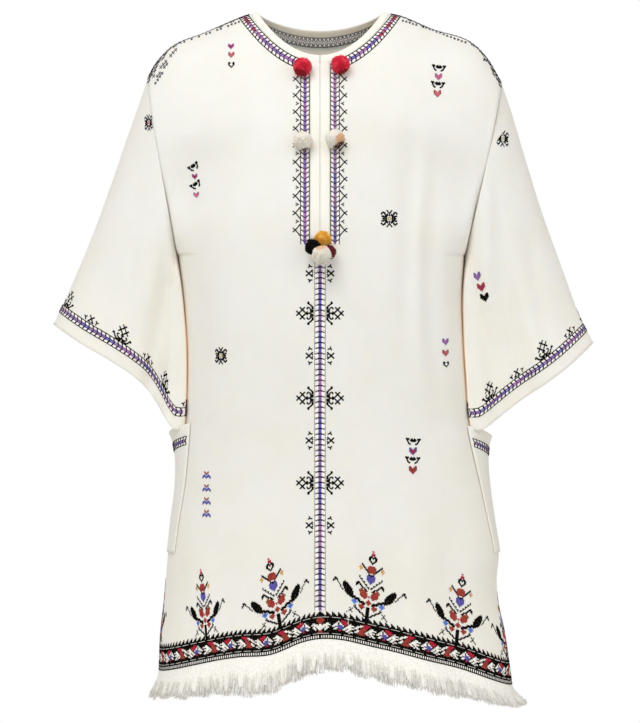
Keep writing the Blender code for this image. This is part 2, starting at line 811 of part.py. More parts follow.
def add_lock(mesh, root, cell, frame):
    """Tapered lock of yarn, hanging from a face of the heading strip."""
    point, out, down = frame
    flare = math.radians(flare_at(point.x) + FLARE_SWING * math.sin(2.7 * cell))
    direction = down * math.cos(flare) + out * math.sin(flare)
    sideways = (root[3].co - root[0].co).normalized()
    direction = (direction + sideways * LOCK_SWAY * math.sin(1.9 * cell)).normalized()
    across = point.x / half_width(side_of(point.x), point.z)
    length = read_table(HEM, "across", "fringe", across)
    length += FRINGE_LENGTH_SWING * math.sin(0.37 * cell) * math.cos(1.3 * cell)
    middle = sum((vertex.co for vertex in root), Vector()) / 4.0
    rings = [list(root)]
    for reach, width in ((0.45, 1.0), (1.0, LOCK_TIP)):
        shift = direction * length * reach
        rings.append([mesh.verts.new(middle + shift + (vertex.co - middle) * width) for vertex in root])
    for upper, lower in zip(rings, rings[1:]):
        for index in range(4):
            after = (index + 1) % 4
            mesh.faces.new((upper[index], upper[after], lower[after], lower[index]))
    mesh.faces.new(rings[-1])


def pompom_centres():
    """Centres of the pompoms, seated on the cloth or on the pompoms behind them."""
    centres = []
    for pompom in POMPOMS:
        core = pompom.radius - TUFT_HEIGHT
        step = 1.0
        base = panel_point(FRONT, pompom.x, pompom.height)
        across = panel_point(FRONT, pompom.x + step, pompom.height) - base
        down = panel_point(FRONT, pompom.x, pompom.height - step) - base
        out = down.cross(across).normalized()
        if pompom.layer == 0:
            centre = base + out * (core + SEAM_GAP)
        else:
            centre = Vector((pompom.x, base.y - core, pompom.height))
            while any((centre - other).length < core + reach - NESTING for other, reach, _ in centres):
                centre.y -= POMPOM_STEP
        centres.append((centre, core, out))
    return centres


def build_pompoms():
    centres = pompom_centres()
    for pompom, (centre, core, out) in zip(POMPOMS, centres):
        blocked = []
        if pompom.layer == 0:
            blocked.append(-out)
        for other, _, _ in centres:
            gap = (other - centre).length
            if 0.0 < gap < 3.0 * pompom.radius:
                blocked.append((other - centre).normalized())
        mesh = bmesh.new()
        bmesh.ops.create_icosphere(mesh, subdivisions=2, radius=core)
        grow_tufts(mesh, blocked)
        bmesh.ops.translate(mesh, verts=mesh.verts, vec=centre)
        make_object(pompom.name, mesh, pompom.colour)


def grow_tufts(mesh, blocked):
    """Pull short three-sided tufts of yarn out of faces that look away from what is near."""
    golden_turn = math.pi * (3.0 - math.sqrt(5.0))
    faces = list(mesh.faces)
    chosen = []
    tries = 4 * TUFTS
    for step in range(tries):
        height = 1.0 - (2.0 * step + 1.0) / tries
        ring = math.sqrt(1.0 - height * height)
        turn = golden_turn * step
        direction = Vector((ring * math.cos(turn), ring * math.sin(turn), height))
        face = max(faces, key=lambda item: item.calc_center_median().normalized().dot(direction))
        outward = face.calc_center_median().normalized()
        if any(outward.dot(way) > CROWDED for way in blocked):
            continue
        neighbours = any(vertex in other.verts for other in chosen for vertex in face.verts)
        if face in chosen or neighbours:
            continue
        chosen.append(face)
        if len(chosen) == TUFTS:
            break
    for face in chosen:
        outward = face.calc_center_median().normalized()
        tuft = bmesh.ops.extrude_discrete_faces(mesh, faces=[face])["faces"][0]
        centre = tuft.calc_center_median()
        for vertex in tuft.verts:
            vertex.co = centre + (vertex.co - centre) * 0.5 + outward * TUFT_HEIGHT


def main():
    for thing in list(bpy.data.objects):
        bpy.data.objects.remove(thing, do_unlink=True)
    grids = build_panels()
    build_sleeve(LEFT, "sleeve_left")
    build_sleeve(RIGHT, "sleeve_right")
    build_neckband(grids)
    build_placket(LEFT, "placket_left", grids)
    build_placket(RIGHT, "placket_right", grids)
    build_pocket(LEFT, "pocket_left")
    build_pocket(RIGHT, "pocket_right")
    build_fringe(FRONT, "fringe_front", grids)
    build_fringe(BACK, "fringe_back", grids)
    build_pompoms()


main()
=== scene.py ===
"""Looks of the mini dress: cloth, embroidery, yarn fringe and pompoms on the fixed frame.

Lengths are in millimetres until the meshes are made. The front faces -Y and
+Z is up. The origin is the middle of the neck opening, where the shoulders
carry the dress. Left is -X and right is +X.
"""

import json
import math
import random
from collections import namedtuple

import bpy
import numpy as np
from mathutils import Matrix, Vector

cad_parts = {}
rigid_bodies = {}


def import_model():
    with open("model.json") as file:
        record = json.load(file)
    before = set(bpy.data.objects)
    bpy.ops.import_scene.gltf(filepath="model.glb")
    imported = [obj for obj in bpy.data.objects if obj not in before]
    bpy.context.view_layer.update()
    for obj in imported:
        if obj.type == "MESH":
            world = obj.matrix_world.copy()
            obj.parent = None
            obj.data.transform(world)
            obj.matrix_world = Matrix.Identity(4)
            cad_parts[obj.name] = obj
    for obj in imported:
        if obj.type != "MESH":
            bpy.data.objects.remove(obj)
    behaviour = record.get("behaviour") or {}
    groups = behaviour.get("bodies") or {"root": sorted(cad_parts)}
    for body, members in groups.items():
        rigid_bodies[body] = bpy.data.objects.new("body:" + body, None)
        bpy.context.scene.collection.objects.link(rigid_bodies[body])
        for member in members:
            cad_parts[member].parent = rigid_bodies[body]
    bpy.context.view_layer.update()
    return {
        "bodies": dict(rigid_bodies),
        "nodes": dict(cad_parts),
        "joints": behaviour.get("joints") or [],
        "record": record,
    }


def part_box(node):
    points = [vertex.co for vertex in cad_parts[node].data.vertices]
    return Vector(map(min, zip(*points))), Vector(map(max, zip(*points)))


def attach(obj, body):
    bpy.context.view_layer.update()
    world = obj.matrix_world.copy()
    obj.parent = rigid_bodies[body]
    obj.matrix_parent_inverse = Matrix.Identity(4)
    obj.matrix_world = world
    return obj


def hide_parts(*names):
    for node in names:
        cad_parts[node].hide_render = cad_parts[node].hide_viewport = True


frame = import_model()

MILLIMETRE = 0.001
TINY = 1e-9
LEFT = -1
RIGHT = 1
FRONT = -1
BACK = 1
SIDE_NAMES = {LEFT: "left", RIGHT: "right"}
FACE_NAMES = {FRONT: "front", BACK: "back"}

# Driving sizes of the cut
NECK_HALF = 77.5
NECK_SEAM_HALF = 87.0
NECK_TOP = 3.8
FRONT_NECK_DROP = 61.0
BACK_NECK_DROP = 17.0
NECKBAND_WIDTH = 10.5
FRONT_NECK_ROUNDNESS = 0.88
BACK_NECK_ROUNDNESS = 0.95
NECK_GAP = 0.45
UNDERARM = -300.0
ARMHOLE_DEPTH = 64.0
ARMHOLE_FOOT_REACH = 14.0
ARMHOLE_TURN = 0.45
BOXINESS = 2.4
SLIT_HALF = 12.15
SLIT_PARTING = 0.45
SLIT_TOUCH = 0.04
SEAM_GAP = 0.3

# Thickness of the cloth and of the bound edges
CLOTH = 1.0
BAND_THICKNESS = 2.0
BAND_CORNERS = 14
POCKET_CLOTH = 1.3

# How folds begin, end and die away toward the seams, as shares of their length or width
FOLD_RISE = 0.35
FOLD_FALL = 0.65
FOLD_SEAM_FADE = 8
RUNS_OFF_HEM = -860.0

# Counts of cells in the cloth grids
ARMHOLE_ROWS = 60
SLIT_ROWS = 50
SKIRT_ROWS = 100
HALF_CELLS = {FRONT: (24, 36), BACK: (25, 30)}
SLIT_CELLS = 6
SLEEVE_RINGS = 84
SLEEVE_STEPS = 168

Shoulder = namedtuple("Shoulder", "out height")
SHOULDER = {
    LEFT: (
        Shoulder(77.5, 3.8),
        Shoulder(96.0, -1.2),
        Shoulder(146.0, -22.5),
        Shoulder(182.0, -37.0),
        Shoulder(204.0, -58.5),
        Shoulder(215.0, -78.0),
    ),
    RIGHT: (
        Shoulder(77.5, 3.8),
        Shoulder(102.0, -1.2),
        Shoulder(141.0, -17.5),
        Shoulder(184.0, -31.0),
        Shoulder(207.0, -51.5),
        Shoulder(226.5, -84.0),
    ),
}

# Half widths to each side and depths to the front and the back, from the underarm down
Section = namedtuple("Section", "height left right front back")
BODY = (
    Section(-300.0, 177.0, 180.0, 124.0, 110.0),
    Section(-355.0, 170.0, 177.0, 124.0, 110.0),
    Section(-412.0, 166.0, 179.0, 122.5, 110.0),
    Section(-460.0, 166.0, 182.5, 120.5, 111.5),
    Section(-510.0, 168.5, 187.5, 119.0, 114.5),
    Section(-580.0, 175.5, 204.0, 118.5, 119.0),
    Section(-631.0, 184.0, 215.5, 119.0, 122.5),
    Section(-671.0, 189.5, 223.0, 120.0, 124.5),
    Section(-700.0, 192.0, 220.5, 121.0, 126.0),
    Section(-730.0, 194.5, 222.0, 122.0, 127.0),
    Section(-770.0, 199.0, 230.5, 124.0, 128.0),
    Section(-815.0, 201.0, 237.0, 127.0, 130.0),
    Section(-880.0, 206.0, 246.0, 131.0, 134.0),
)

# Height of the hem edge across a panel, from the left side seam (-1) to the right one (+1),
# and the length of the fringe below it
Hem = namedtuple("Hem", "across front back fringe")
HEM = (
    Hem(-1.0, -815.0, -815.0, 35.0),
    Hem(-0.75, -800.0, -803.0, 40.0),
    Hem(-0.5, -789.0, -792.0, 46.0),
    Hem(-0.3, -785.0, -784.0, 47.0),
    Hem(-0.12, -771.0, -778.0, 44.0),
    Hem(0.0, -765.5, -776.0, 40.0),
    Hem(0.12, -767.0, -777.0, 39.0),
    Hem(0.3, -777.0, -783.0, 40.0),
    Hem(0.5, -789.0, -796.0, 40.0),
    Hem(0.75, -807.0, -812.0, 37.0),
    Hem(1.0, -833.0, -833.0, 31.0),
)

# Outer edge of each sleeve, from the shoulder end to the cuff
SleeveEdge = namedtuple("SleeveEdge", "along out height")
SLEEVE_OUTER = {
    LEFT: (
        SleeveEdge(0.0, 215.0, -78.0),
        SleeveEdge(0.13, 228.5, -118.0),
        SleeveEdge(0.26, 243.5, -160.0),
        SleeveEdge(0.42, 260.5, -210.0),
        SleeveEdge(0.63, 284.0, -274.0),
        SleeveEdge(0.86, 312.5, -342.0),
        SleeveEdge(1.0, 333.0, -385.0),
    ),
    RIGHT: (
        SleeveEdge(0.0, 226.5, -84.0),
        SleeveEdge(0.1, 238.5, -119.0),
        SleeveEdge(0.27, 255.5, -176.0),
        SleeveEdge(0.49, 277.0, -245.0),
        SleeveEdge(0.73, 304.0, -320.0),
        SleeveEdge(0.91, 325.5, -378.0),
        SleeveEdge(1.0, 341.5, -408.0),
    ),
}
SLEEVE_INNER_DROP = {LEFT: -214.0, RIGHT: -216.0}
SLEEVE_SETBACK = 52.0
SLEEVE_CUFF_DEPTH = 56.0
SLEEVE_CLEARANCE = 1.2
SLEEVE_TUCK = 8.0

# Where the front of a sleeve laps over the side of the body, as shares across the sleeve
LAP_START = 0.66
LAP_FULL = 0.84
LAP_TURN = 0.955
LAP_DEPTH = 40.0
LAP_CLEARANCE = 0.15

# Faces of the narrow gap under a sleeve that get the painted warm shade and painted glow, by how near the
# body they lie and how far they turn to it
GAP_BELOW_UNDERARM = 5.0
GAP_FOOT = -500.0
GAP_SLEEVE_REACH = 10.0
GAP_SLEEVE_TURN = -0.6
GAP_BODY_TURN = 0.965

# How the cloth is smoothed where the armhole ends
UNDERARM_STEPS = (-26.0, -13.0, 0.0, 13.0, 26.0)
UNDERARM_BLEND = 30.0

# How far the cuff edge lies above the straight line from its outer to its inner corner
CuffLift = namedtuple("CuffLift", "across lift")
CUFF_LIFT = {
    LEFT: (
        CuffLift(0.0, 0.0),
        CuffLift(0.2, 3.0),
        CuffLift(0.45, 10.0),
        CuffLift(0.64, 11.0),
        CuffLift(0.75, 1.0),
        CuffLift(0.87, -16.0),
        CuffLift(0.94, -10.0),
        CuffLift(1.0, 0.0),
    ),
    RIGHT: (
        CuffLift(0.0, 0.0),
        CuffLift(0.27, -8.0),
        CuffLift(0.6, -10.0),
        CuffLift(0.86, -14.0),
        CuffLift(0.94, -8.0),
        CuffLift(1.0, 0.0),
    ),
}

# Soft folds of the body: place across at the top and the bottom, as a share of the half
# width, and how deep the trough is (a ridge is negative)
Fold = namedtuple("Fold", "top bottom across_top across_bottom width depth")
BODY_FOLDS = {
    FRONT: (
        Fold(-95.0, -470.0, 0.56, 0.60, 0.075, 5.0),
        Fold(-120.0, -560.0, 0.70, 0.80, 0.07, 5.5),
        Fold(-110.0, -500.0, 0.63, 0.70, 0.05, -2.0),
        Fold(-420.0, -690.0, -0.16, -0.58, 0.13, 3.0),
        Fold(-210.0, -520.0, -0.84, -0.86, 0.07, 4.0),
        Fold(-650.0, -880.0, -0.12, -0.10, 0.07, 3.5),
        Fold(-610.0, -880.0, 0.34, 0.36, 0.10, 4.0),
        Fold(-560.0, -880.0, 0.74, 0.72, 0.10, 5.0),
        Fold(-620.0, -880.0, -0.60, -0.62, 0.11, 4.5),
        Fold(-590.0, -880.0, 0.54, 0.55, 0.09, -4.0),
    ),
    BACK: (
        Fold(-120.0, -540.0, -0.52, -0.60, 0.08, 5.0),
        Fold(-150.0, -520.0, 0.50, 0.62, 0.08, 4.5),
        Fold(-330.0, -880.0, 0.12, 0.16, 0.11, 4.0),
        Fold(-420.0, -880.0, -0.34, -0.40, 0.12, 5.0),
        Fold(-560.0, -880.0, 0.55, 0.60, 0.11, 5.5),
        Fold(-600.0, -880.0, -0.74, -0.76, 0.10, 5.0),
        Fold(-560.0, -880.0, -0.10, -0.12, 0.09, -4.0),
    ),
}

# Small creases of the body, each along a straight line from one place to another
Crease = namedtuple("Crease", "x0 z0 x1 z1 width depth")
BODY_CREASES = {
    FRONT: (
        Crease(-168.0, -262.0, -108.0, -214.0, 9.0, 1.5),
        Crease(-164.0, -300.0, -118.0, -292.0, 10.0, 1.3),
        Crease(-186.0, -190.0, -140.0, -150.0, 10.0, 1.4),
        Crease(172.0, -268.0, 122.0, -226.0, 9.0, 1.6),
        Crease(166.0, -318.0, 118.0, -306.0, 10.0, 1.3),
        Crease(192.0, -196.0, 150.0, -140.0, 10.0, 1.5),
        Crease(-64.0, -330.0, -96.0, -470.0, 12.0, 1.1),
        Crease(58.0, -360.0, 74.0, -540.0, 13.0, 1.2),
        Crease(-34.0, -520.0, -92.0, -660.0, 14.0, 1.4),
        Crease(-160.0, -520.0, -122.0, -498.0, 8.0, 1.6),
        Crease(168.0, -524.0, 128.0, -494.0, 8.0, 1.8),
        Crease(-150.0, -600.0, -120.0, -700.0, 11.0, 1.4),
        Crease(96.0, -600.0, 104.0, -700.0, 10.0, 1.4),
        Crease(30.0, -690.0, 34.0, -790.0, 8.0, 1.5),
        Crease(-80.0, -700.0, -84.0, -800.0, 9.0, 1.4),
        Crease(-150.0, -710.0, -156.0, -810.0, 10.0, 1.8),
        Crease(126.0, -700.0, 132.0, -815.0, 9.0, 1.6),
        Crease(-96.0, -60.0, -128.0, -120.0, 11.0, 1.0),
        Crease(112.0, -58.0, 126.0, -120.0, 10.0, 1.2),
    ),
    BACK: (
        Crease(-60.0, -70.0, -128.0, -220.0, 14.0, 1.6),
        Crease(62.0, -80.0, 120.0, -230.0, 14.0, 1.5),
        Crease(-168.0, -270.0, -104.0, -230.0, 10.0, 1.7),
        Crease(172.0, -272.0, 112.0, -226.0, 10.0, 1.6),
        Crease(-160.0, -310.0, -96.0, -330.0, 12.0, 1.3),
        Crease(158.0, -330.0, 92.0, -342.0, 12.0, 1.3),
        Crease(-40.0, -400.0, 30.0, -440.0, 14.0, 1.1),
        Crease(-154.0, -520.0, -112.0, -560.0, 10.0, 1.5),
        Crease(166.0, -528.0, 120.0, -570.0, 10.0, 1.5),
        Crease(20.0, -620.0, 8.0, -780.0, 12.0, 1.6),
        Crease(-96.0, -680.0, -104.0, -800.0, 10.0, 1.5),
        Crease(70.0, -660.0, 82.0, -790.0, 11.0, 1.6),
        Crease(150.0, -690.0, 162.0, -820.0, 11.0, 1.8),
    ),
}

# Slow unevenness of the hanging cloth: wavelengths across and down, phase and height
Swell = namedtuple("Swell", "across down phase height")
SWELLS = (
    Swell(118.0, 390.0, 0.4, 0.9),
    Swell(67.0, 255.0, 2.1, 0.5),
    Swell(-84.0, 170.0, 4.4, 0.45),
    Swell(41.0, -210.0, 1.2, 0.22),
)

# Soft folds of the sleeves: shares of the way down the sleeve and across it
SleeveFold = namedtuple("SleeveFold", "side start end across_start across_end width depth")
SLEEVE_FOLDS = {
    LEFT: (
        SleeveFold(FRONT, 0.22, 1.1, 0.70, 0.74, 0.07, 8.0),
        SleeveFold(FRONT, 0.30, 1.1, 0.56, 0.60, 0.08, -3.0),
        SleeveFold(BACK, 0.10, 1.1, 0.45, 0.50, 0.09, 7.0),
        SleeveFold(BACK, 0.35, 1.1, 0.70, 0.76, 0.07, 5.0),
        SleeveFold(FRONT, 0.12, 0.95, 0.30, 0.34, 0.10, 1.6),
        SleeveFold(FRONT, 0.55, 1.1, 0.18, 0.20, 0.07, 1.8),
        SleeveFold(BACK, 0.30, 1.1, 0.24, 0.28, 0.08, 2.5),
    ),
    RIGHT: (
        SleeveFold(FRONT, 0.05, 1.1, 0.45, 0.52, 0.08, 8.0),
        SleeveFold(FRONT, 0.10, 1.0, 0.68, 0.72, 0.08, -4.0),
        SleeveFold(BACK, 0.15, 1.1, 0.40, 0.46, 0.09, 6.0),
        SleeveFold(BACK, 0.30, 1.1, 0.68, 0.72, 0.07, 6.0),
        SleeveFold(FRONT, 0.40, 1.1, 0.24, 0.28, 0.09, 2.0),
        SleeveFold(FRONT, 0.45, 1.1, 0.82, 0.84, 0.05, 2.0),
        SleeveFold(BACK, 0.40, 1.1, 0.20, 0.22, 0.08, 2.5),
    ),
}

# Patch pockets, set over the side seams: how far they reach to the front and the back
Pocket = namedtuple("Pocket", "reach_front reach_back top_front top_side top_back bottom bulge lip")
POCKETS = {
    LEFT: Pocket(52.0, 70.0, -508.0, -521.0, -524.0, -668.0, 10.0, 8.0),
    RIGHT: Pocket(44.0, 74.0, -511.0, -525.0, -528.0, -668.0, 16.0, 8.0),
}
POCKET_BASE = 1.6
POCKET_GAP = 0.45
POCKET_BULGE_FALL = 1.6
POCKET_LIP_FALL = 9
POCKET_EDGE_RISE = 0.8
POCKET_SAG = 0.72
POCKET_ACROSS = 44
POCKET_DOWN = 52

# Outward lean of the fringe, in degrees, at the left seam, the middle and the right seam
FLARE_LEFT = 16.0
FLARE_MIDDLE = 3.0
FLARE_RIGHT = 30.0

# Yarns of the fringe; each layer starts at a share of the way down and lies at a height off the hem
YARN_PITCH = 0.82
YarnLayer = namedtuple("YarnLayer", "start_share lift")
YARN_LAYERS = (
    YarnLayer(0.5, 0.25),
    YarnLayer(0.3, -0.3),
    YarnLayer(0.0, -1.1),
)
YARN_WIDTH = 0.95
LOCK_PITCH = 9.6
YARN_SEGMENTS = 5
HEADING_PITCH = 1.25
HEADING_ROWS = 7
HEADING_THICKNESS = 0.9

# Strands of a pompom, along their length from the middle of the ball, and its solid core
POMPOM_STRANDS = 1700
STRAND_SHARES = (0.5, 0.8, 1.0)
STRAND_WIDTHS = (0.7, 1.25, 0.8)
CORE_SHARE = 0.8
POMPOM_SEED = 90

# Embroidery: sizes and spacing of its stitches, ladders and motifs, and where they start and end
STITCH = 1.5
THREAD_RISE = 0.55
BORDER_ROWS = 22
LADDER_WIDTH = 10.2
LADDER_PITCH = 6.1
CENTRE_LADDER_WIDTH = 12.6
CENTRE_LADDER_PITCH = 6.5
EDGING_PERIOD = 20.6
CUFF_HEM = 17.0
POCKET_HEM = 15.0
MOTIF_PITCH = 45.5
TREE_PITCH = 105.0
TREE_WIDTHS = (0.6, 0.62, 1.0, 1.05, 1.1, 1.0)
NECK_LADDER_WIDTH = 10.8
PLACKET_LADDER_PITCH = 5.9
BORDER_STRETCH = {LEFT: 1.0, RIGHT: 1.2}
TICK_PITCH = 2.8
LACE_STEP = 3.7
LACE_MARGIN = 4.0
MOTIF_STRETCH = 1.8
PLACKET_FOOT = -291.0
PLACKET_EDGING_TOP = -88.5
CENTRE_LADDER_TOP = -311.0
LATTICE_LIFT = -1.75
LATTICE_HALF = 4.7
LATTICE_PAD = 6.0

# How far the surfaces that carry the threads reach, and a place inside each
BODY_PATCH_FOOT = -872.0
BODY_PATCH_TOP = -6.0
BODY_PATCH_REACH = 340.0
BODY_INSIDE = (0.0, 0.0, -430.0)
NECK_PATCH_IN = 9.5
NECK_PATCH_OUT = 20.0
NECK_PATCH_TRIM_ROW = 32
NECK_INSIDE = (0.0, 0.0, -120.0)
SHOULDER_PATCH_DEPTH = 40.0
SHOULDER_INSIDE = {LEFT: (-150.0, 0.0, -150.0), RIGHT: (150.0, 0.0, -150.0)}
POCKET_INSIDE = (0.0, 0.0, -560.0)

# The picture that the camera frames, and where the camera stands
PICTURE_WIDTH = 640
PICTURE_HEIGHT = 723
PIXEL = 1.25
CAMERA_DISTANCE = 3200.0
CAMERA_HEIGHT = -431.9
SENSOR = 36.0

# Colours of cloth and yarn, and of the embroidery threads by their letters. The painted warm shade
# and painted glow of the gap under a sleeve set in between the two heights of GAP_FADE, in metres.
CREAM = (0.89, 0.856, 0.79)
BAND_CREAM = (0.90, 0.87, 0.81)
# Painted shade and painted glow of the narrow gap under each sleeve: the warm tan colour of its cloth, and
# the colour and strength of its glow
GAP_PAINTED_SHADE_TONE = (0.92, 0.83, 0.73)
GAP_PAINTED_GLOW_TONE = (1.0, 0.80, 0.62)
GAP_PAINTED_GLOW = 0.055
GAP_FADE = (-0.31, -0.38)
THREADS = {
    "K": ("thread_black", (0.006, 0.005, 0.004)),
    "L": ("thread_straw", (0.56, 0.49, 0.24)),
    "R": ("thread_brick_red", (0.36, 0.050, 0.036)),
    "C": ("thread_crimson", (0.46, 0.014, 0.045)),
    "P": ("thread_pink", (0.58, 0.15, 0.20)),
    "N": ("thread_purple", (0.22, 0.13, 0.36)),
    "M": ("thread_mauve", (0.36, 0.16, 0.41)),
    "V": ("thread_violet", (0.12, 0.10, 0.40)),
    "B": ("thread_blue", (0.11, 0.24, 0.68)),
    "D": ("thread_wine", (0.33, 0.030, 0.085)),
    "G": ("thread_olive", (0.20, 0.19, 0.075)),
    "Y": ("thread_gold", (0.68, 0.38, 0.10)),
    "W": ("thread_ivory", (0.90, 0.87, 0.83)),
    "H": ("thread_grey", (0.13, 0.125, 0.12)),
}
YARNS = {
    "cream": (0.98, 0.94, 0.86),
    "cream_shade": (0.86, 0.76, 0.61),
    "fringe": (0.95, 0.93, 0.885),
    "peach": (0.88, 0.56, 0.33),
    # Painted shade: near-black umber for the underside of the cream pompoms
    "umber_painted_shade": (0.10, 0.035, 0.016),
    "red": (0.74, 0.012, 0.045),
    # Painted shade: darker red for the lower side of the red pompoms
    "red_painted_shade": (0.34, 0.004, 0.016),
    "red_light": (0.86, 0.06, 0.12),
    "dark_red": (0.17, 0.004, 0.016),
    "dark_red_deep": (0.08, 0.002, 0.008),
    "black": (0.006, 0.005, 0.005),
    "black_light": (0.016, 0.013, 0.013),
    "gold": (0.85, 0.43, 0.045),
    "gold_light": (0.93, 0.64, 0.16),
}


def mix(start, end, share):
    return start + (end - start) * share


def smooth_step(start, end, value):
    share = np.clip((value - start) / (end - start), 0.0, 1.0)
    return share * share * (3.0 - 2.0 * share)


class Curve:
    """Smooth curve through one column of a table, read at any value of its key column."""

    def __init__(self, rows, key, column):
        keys = np.array([getattr(row, key) for row in rows], float)
        values = np.array([getattr(row, column) for row in rows], float)
        if keys[0] > keys[-1]:
            keys = keys[::-1]
            values = values[::-1]
        last = len(keys) - 1
        before = np.maximum(np.arange(last + 1) - 1, 0)
        after = np.minimum(np.arange(last + 1) + 1, last)
        self.keys = keys
        self.values = values
        self.slopes = (values[after] - values[before]) / (keys[after] - keys[before])

    def __call__(self, value):
        value = np.clip(value, self.keys[0], self.keys[-1])
        last = len(self.keys) - 1
        cell = np.clip(np.searchsorted(self.keys, value, side="right") - 1, 0, last - 1)
        length = self.keys[cell + 1] - self.keys[cell]
        share = (value - self.keys[cell]) / length
        rise = share * share * (3.0 - 2.0 * share)
        start_pull = share * (1.0 - share) ** 2 * length * self.slopes[cell]
        end_pull = share ** 2 * (share - 1.0) * length * self.slopes[cell + 1]
        return mix(self.values[cell], self.values[cell + 1], rise) + start_pull + end_pull


WIDTH_CURVE = {LEFT: Curve(BODY, "height", "left"), RIGHT: Curve(BODY, "height", "right")}
DEPTH_CURVE = {FRONT: Curve(BODY, "height", "front"), BACK: Curve(BODY, "height", "back")}
SHOULDER_CURVE = {side: Curve(SHOULDER[side], "out", "height") for side in (LEFT, RIGHT)}
HEM_CURVE = {FRONT: Curve(HEM, "across", "front"), BACK: Curve(HEM, "across", "back")}
FRINGE_CURVE = Curve(HEM, "across", "fringe")
CUFF_CURVE = {side: Curve(CUFF_LIFT[side], "across", "lift") for side in (LEFT, RIGHT)}
SLEEVE_OUT = {side: Curve(SLEEVE_OUTER[side], "along", "out") for side in (LEFT, RIGHT)}
SLEEVE_HEIGHT = {side: Curve(SLEEVE_OUTER[side], "along", "height") for side in (LEFT, RIGHT)}


def shoulder_end(side):
    return SHOULDER[side][-1]


def half_width(side, height):
    height = np.minimum(height, UNDERARM)
    return np.where(np.asarray(side) > 0, WIDTH_CURVE[RIGHT](height), WIDTH_CURVE[LEFT](height))


def unit(vectors):
    """Vectors of length one along the last axis."""
    return vectors / np.maximum(np.linalg.norm(vectors, axis=-1, keepdims=True), TINY)


def oval(ratio):
    """Share of the full depth that is left at a share of the half width, or the other way round."""
    return (1.0 - ratio ** BOXINESS) ** (1.0 / BOXINESS)


def arc_lengths(line):
    """Distance along a line of points, from its first one to each."""
    steps = np.linalg.norm(np.diff(line, axis=0), axis=1)
    return np.concatenate([[0.0], np.cumsum(steps)])


def read_line(wanted, keys, line):
    """Points of a line at wanted values of its keys."""
    return np.stack([np.interp(wanted, keys, line[:, axis]) for axis in range(3)], axis=-1)


def full_depth(face, height):
    return DEPTH_CURVE[face](np.minimum(height, UNDERARM))


def depth_behind(y, height):
    """Full depth of the body on the face that a place is nearer to."""
    return np.where(y < 0.0, full_depth(FRONT, height), full_depth(BACK, height))


def shoulder_height(x):
    out = np.abs(x)
    return np.where(np.asarray(x) >= 0.0, SHOULDER_CURVE[RIGHT](out), SHOULDER_CURVE[LEFT](out))


def armhole_x(side, share):
    """Distance out of the armhole seam at a share of the way from the shoulder to the underarm."""
    end = np.where(np.asarray(side) > 0, shoulder_end(RIGHT).out, shoulder_end(LEFT).out)
    return mix(end, half_width(side, UNDERARM), share)


def body_fold(face, across, height):
    """Depth of the long folds of one panel at a share across it."""
    total = np.zeros(np.broadcast(across, height).shape)
    for fold in BODY_FOLDS[face]:
        down = (fold.top - height) / (fold.top - fold.bottom)
        centre = mix(fold.across_top, fold.across_bottom, down)
        end_fade = 1.0
        if fold.bottom > RUNS_OFF_HEM:
            end_fade = 1.0 - smooth_step(FOLD_FALL, 1.0, down)
        strength = smooth_step(0.0, FOLD_RISE, down) * end_fade
        total = total + fold.depth * strength * np.exp(-((across - centre) / fold.width) ** 2)
    return total


def small_creases(face, x, height):
    """Depth of the small creases and of the slow unevenness of one panel."""
    total = np.zeros(np.broadcast(x, height).shape)
    for number, crease in enumerate(BODY_CREASES[face]):
        dx = crease.x1 - crease.x0
        dz = crease.z1 - crease.z0
        length = math.hypot(dx, dz)
        along = ((x - crease.x0) * dx + (height - crease.z0) * dz) / length ** 2
        off = ((x - crease.x0) * dz - (height - crease.z0) * dx) / length
        off = off + 2.5 * np.sin(3.0 * along + number)
        width = crease.width * (0.75 + 0.5 * np.clip(along, 0.0, 1.0))
        fade = smooth_step(-0.1, 0.45, along) * (1.0 - smooth_step(0.5, 1.1, along))
        total = total + crease.depth * fade * np.exp(-(off / width) ** 2)
    for swell in SWELLS:
        turn = x / swell.across + height / swell.down + swell.phase * (1.0 + 0.3 * face)
        total = total + swell.height * np.sin(turn * 2.0)
    return total


def panel_depth(face, x, height):
    """How far the outer face of a panel lies from the plane of the shoulder seams."""
    x = np.asarray(x, float)
    height = np.asarray(height, float)
    side = np.where(x >= 0.0, RIGHT, LEFT)
    low_ratio = np.minimum(np.abs(x) / half_width(side, height), 1.0)
    low_depth = full_depth(face, height) * oval(low_ratio)
    top = shoulder_height(x)
    share = np.clip((top - height) / (top - UNDERARM), 0.0, 1.0)
    high_ratio = np.minimum(np.abs(x) / armhole_x(side, share), 1.0)
    armhole = 2.0 * ARMHOLE_DEPTH * np.sqrt(share * (1.0 - share))
    middle = full_depth(face, UNDERARM) * np.sqrt(1.0 - (1.0 - share) ** 2)
    lower = smooth_step(ARMHOLE_TURN, 1.0, share)
    turn = mix(1.0, 1.0 / BOXINESS, lower)
    reach = mix(BOXINESS, ARMHOLE_FOOT_REACH, lower)
    high_depth = middle * (1.0 - high_ratio ** BOXINESS) ** turn + armhole * high_ratio ** reach
    is_low = height <= UNDERARM
    depth = np.where(is_low, low_depth, high_depth)
    ratio = np.where(is_low, low_ratio, high_ratio)
    room = 1.0 - ratio ** FOLD_SEAM_FADE
    calm = room * smooth_step(0.02, 0.2, share)
    folds = body_fold(face, side * ratio, height) * room
    return depth - folds - small_creases(face, x, height) * calm


def panel_points(face, x, height):
    """Points of the outer face of a panel, smoothed where the armhole ends."""
    depth = panel_depth(face, x, height)
    soft = sum(panel_depth(face, x, height + step) for step in UNDERARM_STEPS) / len(UNDERARM_STEPS)
    edge = np.minimum(np.abs(x) / half_width(np.sign(x), np.full_like(height, UNDERARM)), 1.0)
    near = np.exp(-((height - UNDERARM) / UNDERARM_BLEND) ** 2) * (1.0 - edge ** 14)
    depth = np.maximum(mix(depth, soft, near), SEAM_GAP / 2.0)
    return np.stack(np.broadcast_arrays(x, face * depth, height), axis=-1)


